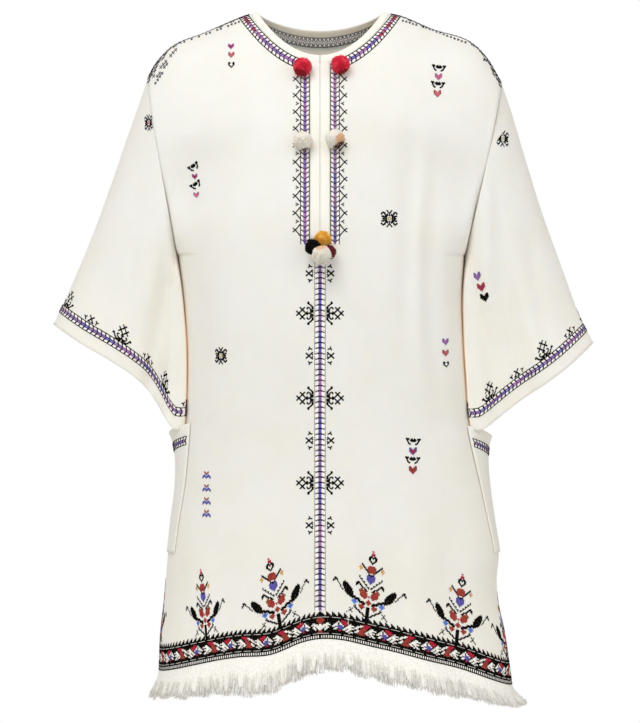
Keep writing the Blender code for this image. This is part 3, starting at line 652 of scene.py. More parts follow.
def neck_height(face, x, half):
    """Height of a neck curve that meets the shoulder seam at a distance from the middle."""
    drop = FRONT_NECK_DROP if face == FRONT else BACK_NECK_DROP
    extra = NECKBAND_WIDTH * (half - NECK_HALF) / (NECK_SEAM_HALF - NECK_HALF)
    top = shoulder_height(np.where(np.asarray(x) >= 0.0, half, -half))
    bottom = NECK_TOP - drop - extra
    share = np.minimum(np.abs(x) / half, 1.0)
    roundness = FRONT_NECK_ROUNDNESS if face == FRONT else BACK_NECK_ROUNDNESS
    return top - (top - bottom) * (1.0 - share * share) ** roundness


def panel_edge(side, height):
    """Distance out of the edge of a panel, along the shoulder, the armhole or the side seam."""
    end = shoulder_end(side)
    outs = np.linspace(0.0, end.out, 400)
    shoulder = SHOULDER_CURVE[side](np.maximum(outs, NECK_HALF))
    order = np.argsort(shoulder, kind="stable")
    above = np.interp(height, shoulder[order], outs[order])
    share = np.clip((end.height - height) / (end.height - UNDERARM), 0.0, 1.0)
    return np.where(height > end.height, above, np.where(
        height > UNDERARM, armhole_x(side, share), half_width(side, height)))


def grid_normals(points, turn=1.0):
    """Unit directions away from the cloth at each point of a grid."""
    down = np.gradient(points, axis=0)
    along = np.gradient(points, axis=1)
    return unit(np.cross(along, down) * turn)


class Patch:
    """Piece of surface on a grid, read by a distance along it (u) and a distance up it (v)."""

    def __init__(self, columns, rows, points, away_from):
        self.columns = np.asarray(columns, float)
        self.rows = np.asarray(rows, float)
        self.points = points
        normals = grid_normals(points)
        middle = (points.shape[0] // 2, points.shape[1] // 2)
        outward = points[middle] - np.asarray(away_from, float)
        self.turn = 1.0 if float(normals[middle] @ outward) > 0.0 else -1.0
        self.normals = normals * self.turn

    def at(self, u, v, lift=0.0):
        """Points of the surface, lifted away from it."""
        columns = np.interp(u, self.columns, np.arange(len(self.columns)))
        rows = np.interp(v, self.rows, np.arange(len(self.rows)))
        left = np.clip(columns.astype(int), 0, len(self.columns) - 2)
        low = np.clip(rows.astype(int), 0, len(self.rows) - 2)
        across = (columns - left)[..., None]
        up = (rows - low)[..., None]

        def read(values):
            bottom = mix(values[low, left], values[low, left + 1], across)
            top = mix(values[low + 1, left], values[low + 1, left + 1], across)
            return mix(bottom, top, up)

        lift = np.asarray(lift, float)
        if lift.ndim:
            lift = lift[..., None]
        return read(self.points) + read(self.normals) * lift

    def seen_at(self, pixel_x, pixel_y):
        """Place on the surface that the camera sees nearest to a point of the picture."""
        near = CAMERA_DISTANCE / (CAMERA_DISTANCE + self.points[..., 1])
        seen_x = PICTURE_WIDTH / 2.0 + self.points[..., 0] / PIXEL * near
        seen_y = PICTURE_HEIGHT / 2.0 + (CAMERA_HEIGHT - self.points[..., 2]) / PIXEL * near
        off = np.hypot(seen_x - pixel_x, seen_y - pixel_y)
        off = off + 1000.0 * (self.normals[..., 1] > 0.05)
        row, column = np.unravel_index(np.argmin(off), off.shape)
        return float(self.columns[column]), float(self.rows[row])

    def seen_frame(self, pixel_x, pixel_y, degrees=0.0, step=3.0):
        """Axes at a seen place on which a motif looks upright and unsquashed to the camera."""
        u, v = self.seen_at(pixel_x, pixel_y)
        places = self.at(np.array([u - step, u + step, u, u]), np.array([v, v, v - step, v + step]))
        flat = places[:, [0, 2]]
        slopes = np.stack([flat[1] - flat[0], flat[3] - flat[2]], axis=1) / (2.0 * step)
        back = np.linalg.inv(slopes)
        point = self.at(u, v)
        near = CAMERA_DISTANCE / (CAMERA_DISTANCE + point[1])
        short_x = (pixel_x - PICTURE_WIDTH / 2.0) * PIXEL / near - point[0]
        short_z = (PICTURE_HEIGHT / 2.0 - pixel_y) * PIXEL / near + CAMERA_HEIGHT - point[2]
        shift = np.clip(back @ np.array([short_x, short_z]), -step, step)
        u += float(shift[0])
        v += float(shift[1])
        angle = math.radians(degrees)
        across = back @ np.array([math.cos(angle), math.sin(angle)])
        up = back @ np.array([-math.sin(angle), math.cos(angle)])
        across *= min(1.0, MOTIF_STRETCH / np.linalg.norm(across))
        up *= min(1.0, MOTIF_STRETCH / np.linalg.norm(up))
        return Frame(u, v, across, up)


def body_patch(face):
    """A panel by arc length from the middle (u, to the right seen from outside) and height (v)."""
    heights = np.arange(BODY_PATCH_FOOT, BODY_PATCH_TOP, 3.0)
    arcs = np.arange(-BODY_PATCH_REACH, BODY_PATCH_REACH + 1.0, 2.0)
    points = np.zeros((len(heights), len(arcs), 3))
    spread = np.sin(np.linspace(0.0, math.pi / 2.0, 160)) ** (2.0 / BOXINESS)
    for side in (LEFT, RIGHT):
        chosen = arcs * side >= 0.0
        distance = np.abs(arcs[chosen])
        for row, height in enumerate(heights):
            outs = spread * float(panel_edge(side, height))
            line = panel_points(face, side * outs, np.full(outs.shape, height))
            arc = arc_lengths(line)
            beyond = np.maximum(distance - arc[-1], 0.0)[:, None]
            points[row, chosen] = read_line(distance, arc, line) + beyond * unit(line[-1] - line[-4])
    if face == BACK:
        points = points[:, ::-1]
    return Patch(arcs, heights, points, BODY_INSIDE)


def neck_patch(face):
    """Cloth round the neck by arc length from the middle (u) and distance out from the seam (v)."""
    offsets = np.linspace(-NECK_PATCH_IN, NECK_PATCH_OUT, 60)
    angles = np.linspace(-math.pi / 2.0, math.pi / 2.0, 241)
    points = np.zeros((len(offsets), len(angles), 3))
    for row, offset in enumerate(offsets):
        half = NECK_SEAM_HALF + offset
        x = half * np.sin(angles)
        points[row] = panel_points(face, x, neck_height(face, x, half))
        points[row, [0, -1], 1] = 0.0
    arc = arc_lengths(points[len(offsets) // 2])
    arc -= arc[len(arc) // 2]
    return Patch(arc, offsets, points, NECK_INSIDE)


def shoulder_patch(face, side):
    """Cloth along a shoulder seam by distance out along the seam (u) and down from it (v)."""
    outs = np.linspace(NECK_SEAM_HALF, shoulder_end(side).out - 0.5, 120)
    downs = np.linspace(0.0, SHOULDER_PATCH_DEPTH, 41)
    drops = np.linspace(0.0, 1.0, 120) ** 2 * SHOULDER_PATCH_DEPTH * 1.5
    points = np.zeros((len(downs), len(outs), 3))
    for column, out in enumerate(outs):
        heights = float(shoulder_height(side * out)) - drops
        line = panel_points(face, np.full(heights.shape, side * out), heights)
        points[:, column] = read_line(downs, arc_lengths(line), line)
    return Patch(arc_lengths(points[0]), downs, points, SHOULDER_INSIDE[side])


def sleeve_points(side, angle, along):
    """Points of a sleeve at an angle round it (0 outside, 90 degrees front) and a share along it."""
    across = (1.0 - np.cos(angle)) / 2.0
    face = np.where(np.sin(angle) >= -TINY, FRONT, BACK)
    outer_x = side * SLEEVE_OUT[side](along)
    outer_z = SLEEVE_HEIGHT[side](along)
    inner_z = UNDERARM + SLEEVE_INNER_DROP[side] * along
    inner_x = side * (half_width(side, inner_z) - SLEEVE_TUCK * along)
    x = mix(outer_x, inner_x, across)
    z = mix(outer_z, inner_z, across)
    depth = mix(ARMHOLE_DEPTH, SLEEVE_CUFF_DEPTH, along)
    setback = SLEEVE_SETBACK * smooth_step(0.0, 1.0, along) * across ** 2
    z = z + CUFF_CURVE[side](across) * along ** 1.5
    fold = np.zeros(np.broadcast(angle, along).shape)
    for row in SLEEVE_FOLDS[side]:
        down = (along - row.start) / (row.end - row.start)
        centre = mix(row.across_start, row.across_end, down)
        strength = smooth_step(0.0, FOLD_RISE, down) * (face == row.side)
        fold = fold + row.depth * strength * np.exp(-((across - centre) / row.width) ** 2)
    ripple = 0.9 * np.sin(across * 17.0 + along * 5.0 + side) + 0.6 * np.sin(across * 31.0 - along * 9.0)
    fold = fold + ripple * smooth_step(0.1, 0.8, along) * np.abs(np.sin(angle))
    y = face * (depth * np.abs(np.sin(angle)) - fold) + setback
    lap = smooth_step(LAP_START, LAP_FULL, across) * (1.0 - smooth_step(LAP_TURN, 1.0, across))
    lap = lap * smooth_step(0.02, 0.2, along) * (face == FRONT)
    y = mix(y, np.minimum(y, FRONT * LAP_DEPTH), lap)
    body_out = half_width(side, z) * oval(np.minimum(np.abs(y) / depth_behind(y, z), 1.0))
    clearance = SLEEVE_CLEARANCE * smooth_step(0.0, 0.15, along) + SEAM_GAP
    clearance = mix(clearance, LAP_CLEARANCE, lap)
    pushed = np.maximum(side * x, body_out + clearance)
    x = np.where(z > UNDERARM, x, side * pushed)
    return np.stack(np.broadcast_arrays(x, y, z), axis=-1)


def sleeve_patch(side):
    """A sleeve by distance round it at the cuff trim (u) and distance up from the cuff (v).

    The distance round starts and ends at the inner edge, so that no trim is cut at the outer one.
    """
    angles = side * FRONT * np.linspace(-math.pi, math.pi, 361)
    alongs = np.linspace(1.0, 0.0, 200)
    rows = np.arange(0.0, 300.0, 2.0)
    points = even_rows(sleeve_points(side, angles[None, :], alongs[:, None]), rows)
    trim_row = int(CUFF_HEM / 2.0) + 3
    middle = points[len(rows) // 2].mean(axis=0)
    return Patch(arc_lengths(points[trim_row]), rows, points, middle)


def even_rows(grid, rows):
    """A grid read again at the same distances down each of its columns."""
    lines = [grid[:, column] for column in range(grid.shape[1])]
    return np.stack([read_line(rows, arc_lengths(line), line) for line in lines], axis=1)


def pocket_points(side, share, down):
    """Points of the outer face of a pocket, at shares across it from the front and down it."""
    pocket = POCKETS[side]
    y = mix(-pocket.reach_front, pocket.reach_back, share)
    front_share = np.clip(-y / pocket.reach_front, 0.0, 1.0)
    back_share = np.clip(y / pocket.reach_back, 0.0, 1.0)
    top = pocket.top_side + (pocket.top_front - pocket.top_side) * front_share
    top = top + (pocket.top_back - pocket.top_side) * back_share
    height = mix(top, pocket.bottom, down)
    depth = depth_behind(y, height)
    width = half_width(side, height)
    ratio = np.minimum(np.abs(y) / depth, 0.999)
    x = width * oval(ratio)
    slope_x = side * (x / width) ** (BOXINESS - 1.0) / width
    slope_y = np.sign(y) * ratio ** (BOXINESS - 1.0) / depth
    size = np.hypot(slope_x, slope_y)
    room = np.sin(math.pi * share) ** POCKET_EDGE_RISE
    up = 1.0 - down
    open_out = pocket.bulge * up ** POCKET_BULGE_FALL + pocket.lip * up ** POCKET_LIP_FALL
    sag = POCKET_SAG * np.sin(share * 9.0 + down * 4.0) * np.sin(math.pi * down) * room
    out = POCKET_BASE + POCKET_GAP + open_out * room + sag
    return np.stack(np.broadcast_arrays(
        side * x + slope_x / size * out, y + slope_y / size * out, height), axis=-1)


def pocket_patch(side):
    """A pocket by distance across it (u) and distance down from its top edge (v)."""
    shares = np.linspace(0.02, 0.98, 90)
    downs = np.linspace(0.0, 0.6, 80)
    rows = np.arange(0.0, 60.0, 1.5)
    points = even_rows(pocket_points(side, shares[None, :], downs[:, None]), rows)
    trim_row = int(POCKET_HEM / 1.5) + 4
    return Patch(arc_lengths(points[trim_row]), rows, points, POCKET_INSIDE)


def new_object(name, vertices, faces, materials, face_slots=None, smooth=True):
    """Mesh object from points in millimetres, riding on the one body."""
    mesh = bpy.data.meshes.new(name)
    mesh.from_pydata((np.asarray(vertices) * MILLIMETRE).tolist(), [], faces)
    for material in materials:
        mesh.materials.append(material)
    if face_slots is not None:
        mesh.polygons.foreach_set("material_index", np.asarray(face_slots, np.int32))
    if smooth:
        mesh.shade_smooth()
    mesh.update()
    thing = bpy.data.objects.new(name, mesh)
    bpy.context.scene.collection.objects.link(thing)
    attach(thing, "root")
    return thing


def wall_faces(row_count, column_count, loop=False, skip=None):
    """Faces of a closed wall: outer grid, inner grid after it, and strips round every edge."""
    inner = row_count * column_count
    cell_columns = column_count if loop else column_count - 1
    faces = []
    edges = {}
    for row in range(row_count - 1):
        for column in range(cell_columns):
            if skip is not None and skip(row, column):
                continue
            after = (column + 1) % column_count
            ring = (
                row * column_count + column,
                (row + 1) * column_count + column,
                (row + 1) * column_count + after,
                row * column_count + after,
            )
            faces.append(ring)
            faces.append(tuple(index + inner for index in reversed(ring)))
            for start, end in zip(ring, ring[1:] + ring[:1]):
                edges[(start, end)] = True
    for start, end in list(edges):
        if (end, start) not in edges:
            faces.append((end, start, start + inner, end + inner))
    return faces


def drop_loose(vertices, faces):
    """Leave out the points that no face uses."""
    used = sorted({index for face in faces for index in face})
    place = {old: new for new, old in enumerate(used)}
    return vertices[used], [tuple(place[index] for index in face) for face in faces]


def cloth_piece(name, points, normals, materials, loop=False, skip=None, thickness=CLOTH):
    """Thin closed shell of cloth under a grid of outer points."""
    rows, columns = points.shape[:2]
    inner = points - normals * thickness
    vertices = np.concatenate([points.reshape(-1, 3), inner.reshape(-1, 3)])
    faces = wall_faces(rows, columns, loop, skip)
    vertices, faces = drop_loose(vertices, faces)
    return new_object(name, vertices, faces, materials)


def armhole_chord(side):
    """Line from the underarm to the end of the shoulder seam, in the plane of the armhole."""
    end = shoulder_end(side)
    under = float(half_width(side, UNDERARM))
    return np.array([side * (end.out - under), 0.0, end.height - UNDERARM])


def armhole_normals(side, rows):
    """Directions away from the middle of the armhole, in its own plane, front half."""
    chord = armhole_chord(side)
    half_chord = np.linalg.norm(chord) / 2.0
    angles = np.linspace(0.0, math.pi, rows + 1)
    out = unit(chord)[None, :] * (np.cos(angles) / half_chord)[:, None]
    out[:, 1] += FRONT * np.sin(angles) / ARMHOLE_DEPTH
    return unit(out)


def flatten_to_seam(normals):
    return unit(normals * np.array([1.0, 0.0, 1.0]))


def panel_columns(face):
    """Columns of a panel from the left seam to the right one: side, top, share below, on neck."""
    neck_cells, shoulder_cells = HALF_CELLS[face]
    first = SLIT_HALF if face == FRONT else 0.0
    halves = {}
    for side in (LEFT, RIGHT):
        angles = np.linspace(math.asin(first / NECK_SEAM_HALF), math.pi / 2.0, neck_cells + 1)
        tops = list(NECK_SEAM_HALF * np.sin(angles))
        tops += list(np.linspace(NECK_SEAM_HALF, shoulder_end(side).out, shoulder_cells + 1)[1:])
        ratio = first / float(half_width(side, UNDERARM))
        low_angles = np.linspace(math.asin(ratio ** (BOXINESS / 2.0)), math.pi / 2.0, len(tops))
        shares = np.sin(low_angles) ** (2.0 / BOXINESS)
        halves[side] = [
            (side, top, share, index < neck_cells)
            for index, (top, share) in enumerate(zip(tops, shares))
        ]
    middle = []
    if face == FRONT:
        for x in np.linspace(-SLIT_HALF, SLIT_HALF, SLIT_CELLS + 1)[1:-1]:
            side = RIGHT if x >= 0.0 else LEFT
            middle.append((side, abs(x), abs(x) / float(half_width(side, UNDERARM)), True))
        return halves[LEFT][::-1] + middle + halves[RIGHT]
    return halves[LEFT][::-1] + halves[RIGHT][1:]


def panel_grid(face):
    """Outer points of a panel by rows from the top, and the directions away from it."""
    columns = panel_columns(face)
    side, top_out, share_out, is_neck = (np.array(values) for values in zip(*columns))
    top_x = side * top_out
    neck_top = neck_height(face, top_x, NECK_SEAM_HALF)
    top_height = np.where(is_neck, neck_top, shoulder_height(top_x))
    share = (1.0 - np.cos(np.linspace(0.0, math.pi, ARMHOLE_ROWS + 1)))[:, None] / 2.0
    x_upper = side * mix(top_out, half_width(side, UNDERARM) * share_out, share)
    z_upper = mix(top_height, UNDERARM, share)
    hem = HEM_CURVE[face](side * share_out)
    z_lower = mix(UNDERARM, hem, np.linspace(0.0, 1.0, SKIRT_ROWS + 1)[1:, None])
    x_lower = side * half_width(side, z_lower) * share_out
    x = np.concatenate([x_upper, x_lower])
    z = np.concatenate([z_upper, z_lower])
    points = panel_points(face, x, z)
    if face == BACK:
        points = points[:, ::-1]
    normals = grid_normals(points, -1.0)
    shoulder_cells = HALF_CELLS[face][1]
    normals[0, :shoulder_cells + 1] = flatten_to_seam(normals[0, :shoulder_cells + 1])
    normals[0, -shoulder_cells - 1:] = flatten_to_seam(normals[0, -shoulder_cells - 1:])
    first_side = LEFT if face == FRONT else RIGHT
    for column, edge_side in ((0, first_side), (-1, -first_side)):
        edge = armhole_normals(edge_side, ARMHOLE_ROWS) * np.array([1.0, -face, 1.0])
        normals[:ARMHOLE_ROWS + 1, column] = edge
        normals[ARMHOLE_ROWS + 1:, column] = flatten_to_seam(normals[ARMHOLE_ROWS + 1:, column])
    return points, normals


def sleeve_grid(side):
    """Outer points of a sleeve by rings from the armhole, and the directions away from it."""
    chord = armhole_chord(side)
    away = unit(np.array([side * chord[2], 0.0, -side * chord[0]]))
    angles = -side * np.linspace(0.0, 2.0 * math.pi, SLEEVE_STEPS + 1)[:-1]
    alongs = np.linspace(0.0, 1.0, SLEEVE_RINGS + 1)
    points = sleeve_points(side, angles[None, :], alongs[:, None])
    points[0] += away * SEAM_GAP
    wide = np.concatenate([points[:, -1:], points, points[:, :1]], axis=1)
    normals = grid_normals(wide, -1.0)[:, 1:-1]
    edge = armhole_normals(side, SLEEVE_STEPS // 2)
    for step in range(SLEEVE_STEPS):
        row = min(step, SLEEVE_STEPS - step)
        is_front = (step <= SLEEVE_STEPS // 2) == (side == LEFT)
        normals[0, step] = edge[row] * np.array([1.0, 1.0 if is_front else -1.0, 1.0])
    return points, normals


def band_piece(name, edge, seam, outward, materials):
    """Bound edge: a flat oval swept along two rows of points, its two long sides on them."""
    centre = (edge + seam) / 2.0
    half = np.linalg.norm(edge - seam, axis=1, keepdims=True) / 2.0
    across = (edge - seam) / (2.0 * half)
    corners = BAND_CORNERS
    rows = []
    for corner in range(corners):
        angle = 2.0 * math.pi * corner / corners
        wide = math.copysign(abs(math.cos(angle)) ** 0.55, math.cos(angle))
        high = math.copysign(abs(math.sin(angle)) ** 0.8, math.sin(angle))
        rows.append(centre + across * half * wide + outward * (high * 0.5 - 0.32) * BAND_THICKNESS)
    points = np.array(rows)
    count = points.shape[1]
    vertices = points.transpose(1, 0, 2).reshape(-1, 3)
    faces = []
    for place in range(count - 1):
        for corner in range(corners):
            after = (corner + 1) % corners
            faces.append((
                place * corners + corner,
                place * corners + after,
                (place + 1) * corners + after,
                (place + 1) * corners + corner,
            ))
    faces.append(tuple(reversed(range(corners))))
    faces.append(tuple((count - 1) * corners + corner for corner in range(corners)))
    return new_object(name, vertices, faces, materials)


# Procedural materials


def link(tree, output, target):
    tree.links.new(output, target)


def add_noise(tree, coordinates, scale, detail=3.0, roughness=0.55):
    node = tree.nodes.new("ShaderNodeTexNoise")
    node.inputs["Scale"].default_value = scale
    node.inputs["Detail"].default_value = detail
    node.inputs["Roughness"].default_value = roughness
    link(tree, coordinates, node.inputs["Vector"])
    return node.outputs["Fac"]


def add_ramp(tree, factor, stops):
    node = tree.nodes.new("ShaderNodeValToRGB")
    ramp = node.color_ramp
    while len(ramp.elements) < len(stops):
        ramp.elements.new(0.5)
    for element, (place, colour) in zip(ramp.elements, stops):
        element.position = place
        element.color = (*colour, 1.0)
    link(tree, factor, node.inputs["Fac"])
    return node.outputs["Color"]


def add_bump(tree, height, strength, distance, before=None):
    node = tree.nodes.new("ShaderNodeBump")
    node.inputs["Strength"].default_value = strength
    node.inputs["Distance"].default_value = distance
    link(tree, height, node.inputs["Height"])
    if before is not None:
        link(tree, before, node.inputs["Normal"])
    return node.outputs["Normal"]


def shade(colour, amount):
    return tuple(min(max(channel * amount, 0.0), 1.0) for channel in colour)


SOCKETS = {
    "sheen": "Sheen Weight",
    "sheen_roughness": "Sheen Roughness",
    "specular": "Specular IOR Level",
    "subsurface": "Subsurface Weight",
    "subsurface_radius": "Subsurface Radius",
    "subsurface_scale": "Subsurface Scale",
    "glow": "Emission Strength",
}


def start_material(name, roughness, **values):
    """Material with its plain values set, its shader, and its coordinates in metres."""
    material = bpy.data.materials.new(name)
    material.use_nodes = True
    tree = material.node_tree
    shader = tree.nodes["Principled BSDF"]
    shader.inputs["Roughness"].default_value = roughness
    for word, value in values.items():
        shader.inputs[SOCKETS[word]].default_value = value
    coordinates = tree.nodes.new("ShaderNodeTexCoord").outputs["Object"]
    return material, tree, shader, coordinates


def mottle(tree, shader, coordinates, scale, detail, stops):
    """Base colour that wanders between tones."""
    tone = add_noise(tree, coordinates, scale, detail)
    link(tree, add_ramp(tree, tone, stops), shader.inputs["Base Color"])


def crepe(name, colour):
    """Cream crepe: thin, fine pebbled grain, soft puckers and a slight change of tone."""
    material, tree, shader, coordinates = start_material(
        name, 0.86, sheen=0.2, sheen_roughness=0.55, specular=0.2,
        subsurface=0.6, subsurface_radius=(1.0, 0.75, 0.5), subsurface_scale=0.0045)
    warm = (colour[0], colour[1] * 0.985, colour[2] * 0.955)
    mottle(tree, shader, coordinates, 14.0, 4.0, ((0.3, shade(warm, 0.97)), (0.7, shade(colour, 1.01))))
    grain = add_noise(tree, coordinates, 1250.0, 2.0, 0.6)
    pucker = add_noise(tree, coordinates, 210.0, 3.0, 0.5)
    normal = add_bump(tree, grain, 0.55, 0.00022)
    normal = add_bump(tree, pucker, 0.32, 0.0006, normal)
    link(tree, normal, shader.inputs["Normal"])
    return material


def painted_gap_shade_crepe(name):
    """The same cloth in the narrow gap under a sleeve, with painted warm shade in its colour and a painted
    glow that stand in for light coming through the cloth into the gap.
    """
    material, tree, shader, coordinates = start_material(name, 0.9, glow=GAP_PAINTED_GLOW)
    axes = tree.nodes.new("ShaderNodeSeparateXYZ")
    link(tree, coordinates, axes.inputs["Vector"])
    share = tree.nodes.new("ShaderNodeMapRange")
    share.inputs["From Min"].default_value = GAP_FADE[0]
    share.inputs["From Max"].default_value = GAP_FADE[1]
    link(tree, axes.outputs["Z"], share.inputs["Value"])
    # Painted shade: the base colour turns from cream to warm tan lower down, and a painted glow sets in with
    # it
    for socket, above, below in (
            ("Base Color", CREAM, GAP_PAINTED_SHADE_TONE), ("Emission Color", (0.0, 0.0, 0.0), GAP_PAINTED_GLOW_TONE)):
        tones = add_ramp(tree, share.outputs["Result"], ((0.0, above), (1.0, below)))
        link(tree, tones, shader.inputs[socket])
    return material


def thread(name, colour):
    """Embroidery thread: soft sheen, fine ply lines and a change of tone from stitch to stitch."""
    is_dark = max(colour) < 0.05
    material, tree, shader, coordinates = start_material(
        name, 0.7, sheen=0.0 if is_dark else 0.1, specular=0.02 if is_dark else 0.12)
    mottle(tree, shader, coordinates, 260.0, 2.0, ((0.32, shade(colour, 0.8)), (0.68, shade(colour, 1.16))))
    ply = add_noise(tree, coordinates, 2400.0, 1.0)
    link(tree, add_bump(tree, ply, 0.3, 0.0002), shader.inputs["Normal"])
    return material


def yarn(name, colour):
    """Loose wool yarn: matt, with light and dark strands."""
    values = {"sheen": 0.15 if max(colour) > 0.05 else 0.0, "sheen_roughness": 0.6, "specular": 0.12}
    if min(colour) > 0.25:
        values.update(subsurface=0.15, subsurface_radius=(1.0, 1.0, 1.0), subsurface_scale=0.001)
    material, tree, shader, coordinates = start_material(name, 0.92, **values)
    mottle(tree, shader, coordinates, 420.0, 3.0, ((0.3, shade(colour, 0.88)), (0.7, shade(colour, 1.08))))
    fuzz = add_noise(tree, coordinates, 1900.0, 2.0)
    link(tree, add_bump(tree, fuzz, 0.4, 0.0003), shader.inputs["Normal"])
    return material


# Embroidery


class Frame:
    """Flat axes on a patch: an origin, a direction across and a direction up."""

    def __init__(self, u, v, across=(1.0, 0.0), up=None):
        self.origin = np.array([u, v], float)
        self.across = np.array(across, float)
        self.up = np.array(up if up is not None else (-across[1], across[0]), float)

    def place(self, a, b):
        point = self.origin + self.across * a + self.up * b
        return float(point[0]), float(point[1])


def turned(u, v, degrees):
    """Axes turned by an angle."""
    angle = math.radians(degrees)
    return Frame(u, v, (math.cos(angle), math.sin(angle)))


class Stitches:
    """Threads on one surface, gathered as short raised bars and thin grounds under them."""

    def __init__(self, patch, seed, inside_lift=None):
        self.patch = patch
        self.sign = 1.0 if inside_lift is None else -1.0
        self.base = inside_lift or 0.0
        self.bars = []
        self.grounds = []
        self.luck = random.Random(seed)

    def bar(self, start, end, width, colour, rise=THREAD_RISE):
        self.bars.append((*start, *end, width, rise, colour))

    def pad(self, corners, colour, lift=0.12):
        """Flat patch of filling stitches between four places."""
        self.grounds.append((*corners[0], *corners[1], *corners[2], *corners[3], lift, colour))

    def line(self, frame, points, width, colour, stitch=4.2):
        """Back stitches along a line of places."""
        for (a0, b0), (a1, b1) in zip(points, points[1:]):
            length = math.hypot(a1 - a0, b1 - b0)
            count = max(1, round(length / stitch))
            for step in range(count):
                low = step / count
                high = (step + 1) / count
                start = frame.place(mix(a0, a1, low), mix(b0, b1, low))
                end = frame.place(mix(a0, a1, high), mix(b0, b1, high))
                self.bar(start, end, width, colour)

    def cross(self, frame, a, b, size, colour, wide=None):
        """One cross stitch with a thin ground of the same colour."""
        half_wide = (wide or size) / 2.0
        half_high = size / 2.0
        jitter = self.luck.uniform(-0.04, 0.04) * size

        def corners(reach):
            return [frame.place(a + i * half_wide * reach + jitter, b + k * half_high * reach)
                    for i, k in ((-1, -1), (1, -1), (1, 1), (-1, 1))]

        self.pad(corners(1.0), colour, 0.16)
        ends = corners(0.8)
        self.bar(ends[0], ends[2], size * 0.56, colour, THREAD_RISE * 0.8)
        self.bar(ends[1], ends[3], size * 0.56, colour)

    def chart(self, frame, rows, size, colours=None):
        """Cross stitches from rows of letters, drawn from the top down, centred on the frame."""
        height = len(rows)
        for row, letters in enumerate(rows):
            for column, letter in enumerate(letters):
                if letter == ".":
                    continue
                colour = (colours or {}).get(letter, letter)
                a = (column - (len(letters) - 1) / 2.0) * size
                b = ((height - 1) / 2.0 - row) * size
                self.cross(frame, a, b, size, colour)

    def bar_mesh(self):
        """Points and faces of the bars: a flat foot of four corners under a ridge of two points."""
        bars = np.array([bar[:6] for bar in self.bars], float)
        start = bars[:, 0:2]
        end = bars[:, 2:4]
        direction = end - start
        length = np.maximum(np.linalg.norm(direction, axis=1, keepdims=True), 1e-6)
        direction = direction / length
        side = np.stack([-direction[:, 1], direction[:, 0]], axis=1) * bars[:, 4:5] / 2.0
        inset = np.minimum(bars[:, 4:5] * 0.45, length * 0.3)
        places = (start + side, start - side, end - side, end + side,
                  start + direction * inset, end - direction * inset)
        foot = self.base - self.sign * 0.05
        ridge = self.base + self.sign * bars[:, 5]
        lifts = [foot] * 4 + [ridge] * 2
        corners = [self.patch.at(place[:, 0], place[:, 1], lift) for place, lift in zip(places, lifts)]
        pattern = np.array([(1, 2, 5), (1, 5, 4), (3, 0, 4), (3, 4, 5), (0, 1, 4), (2, 3, 5)])
        first = np.arange(len(bars))[:, None, None] * len(places)
        return np.stack(corners, axis=1).reshape(-1, 3), (pattern[None] + first).reshape(-1, 3)

    def ground_mesh(self):
        """Points and faces of the thin grounds."""
        grounds = np.array([ground[:9] for ground in self.grounds], float)
        lift = self.base + self.sign * grounds[:, 8]
        corners = [self.patch.at(grounds[:, 2 * k], grounds[:, 2 * k + 1], lift) for k in range(4)]
        first = np.arange(len(grounds))[:, None, None] * 4
        faces = (np.array([(0, 1, 2), (0, 2, 3)])[None] + first).reshape(-1, 3)
        return np.stack(corners, axis=1).reshape(-1, 3), faces

    def make(self, name):
        """One joined mesh of all the threads."""
        letters = sorted({row[-1] for row in self.bars + self.grounds})
        vertices, faces = self.bar_mesh()
        colours = [bar[-1] for bar in self.bars for _ in range(6)]
        if self.grounds:
            ground_vertices, ground_faces = self.ground_mesh()
            faces = np.concatenate([faces, ground_faces + len(vertices)])
            vertices = np.concatenate([vertices, ground_vertices])
            colours += [ground[-1] for ground in self.grounds for _ in range(2)]
        if self.patch.turn * self.sign > 0.0:
            faces = faces[:, ::-1]
        slots = [letters.index(colour) for colour in colours]
        materials = [THREAD_MATERIALS[letter] for letter in letters]
        return new_object(name, vertices, faces.tolist(), materials, slots, smooth=False)


HEART = ("EE...EE", "EIE.EIE", "EIIIIIE", "EIIIIIE", ".EIIIE.", "..EIE..", "...E...")
OPEN_HEART = ("KK...KK", "KKK.KKK", "KKWWWKK", "KKWWWKK", ".KKWKK.", "..KKK..", "...K...")
SCROLL_HALF = (
    (2.6, (8.8, 3.4), (6.6, 2.4), (4.4, 3.0)),
    (2.4, (7.2, 2.2), (4.6, -3.2), (2.4, -3.4)),
    (3.2, (2.2, 3.6), (0.2, -0.8)),
    (1.9, (2.0, -0.2), (3.8, 1.8)),
)
TULIP = (
    "..R...R..",
    "..RR.RR..",
    "...RRR...",
    "..B.R.B..",
    ".VVB.BVV.",
    "VVVVBVVVV",
    "VV.VVV.VV",
    "V...V...V",
)
BORDER_A = (
    "...............",
    "......CCCCC....",
    "....WWCCCC.....",
    "..WWW.CCC..WW..",
    ".WW..RRR..WWWWW",
    "WW..RRRR.WWW...",
    "..WRRRR.WWWWWW.",
    ".WWRRR.WW.WW...",
    "WW.RRRRRWW.WW..",
    "..RRRRR...W.WW.",
    "...............",
    "...............",
)
BORDER_B = (
    "...............",
    "......CCC......",
    "....W.CCCCC....",
    "...W.W.CCCC.W..",
    "..WW.WW.CC.WWWW",
    ".WWWVVVW..WWW..",
    "WW.VVVVV.WWWWWW",
    "..WWVVV.WW.WW..",
    ".WW..V.WW.WW...",
    "....CC...WW.WW.",
    "...........W...",
    "...............",
)
BORDER_CENTRE = (
    "RR......",
    "RRR.....",
    "RRR.....",
    "RR......",
    "R...WW..",
    "W.WWWWW.",
    "WWWWW...",
    "WWW.WW..",
    "WW.WW...",
    "W..W....",
    "R.......",
    "RR......",
)
BORDER_REPEAT = 15
BORDER_BARE_ROWS = (1, 2)
DESIGN_TOP_ROW = 16
TEETH_ROW = 19
BOTH_WAYS = ((1, 1), (-1, 1))

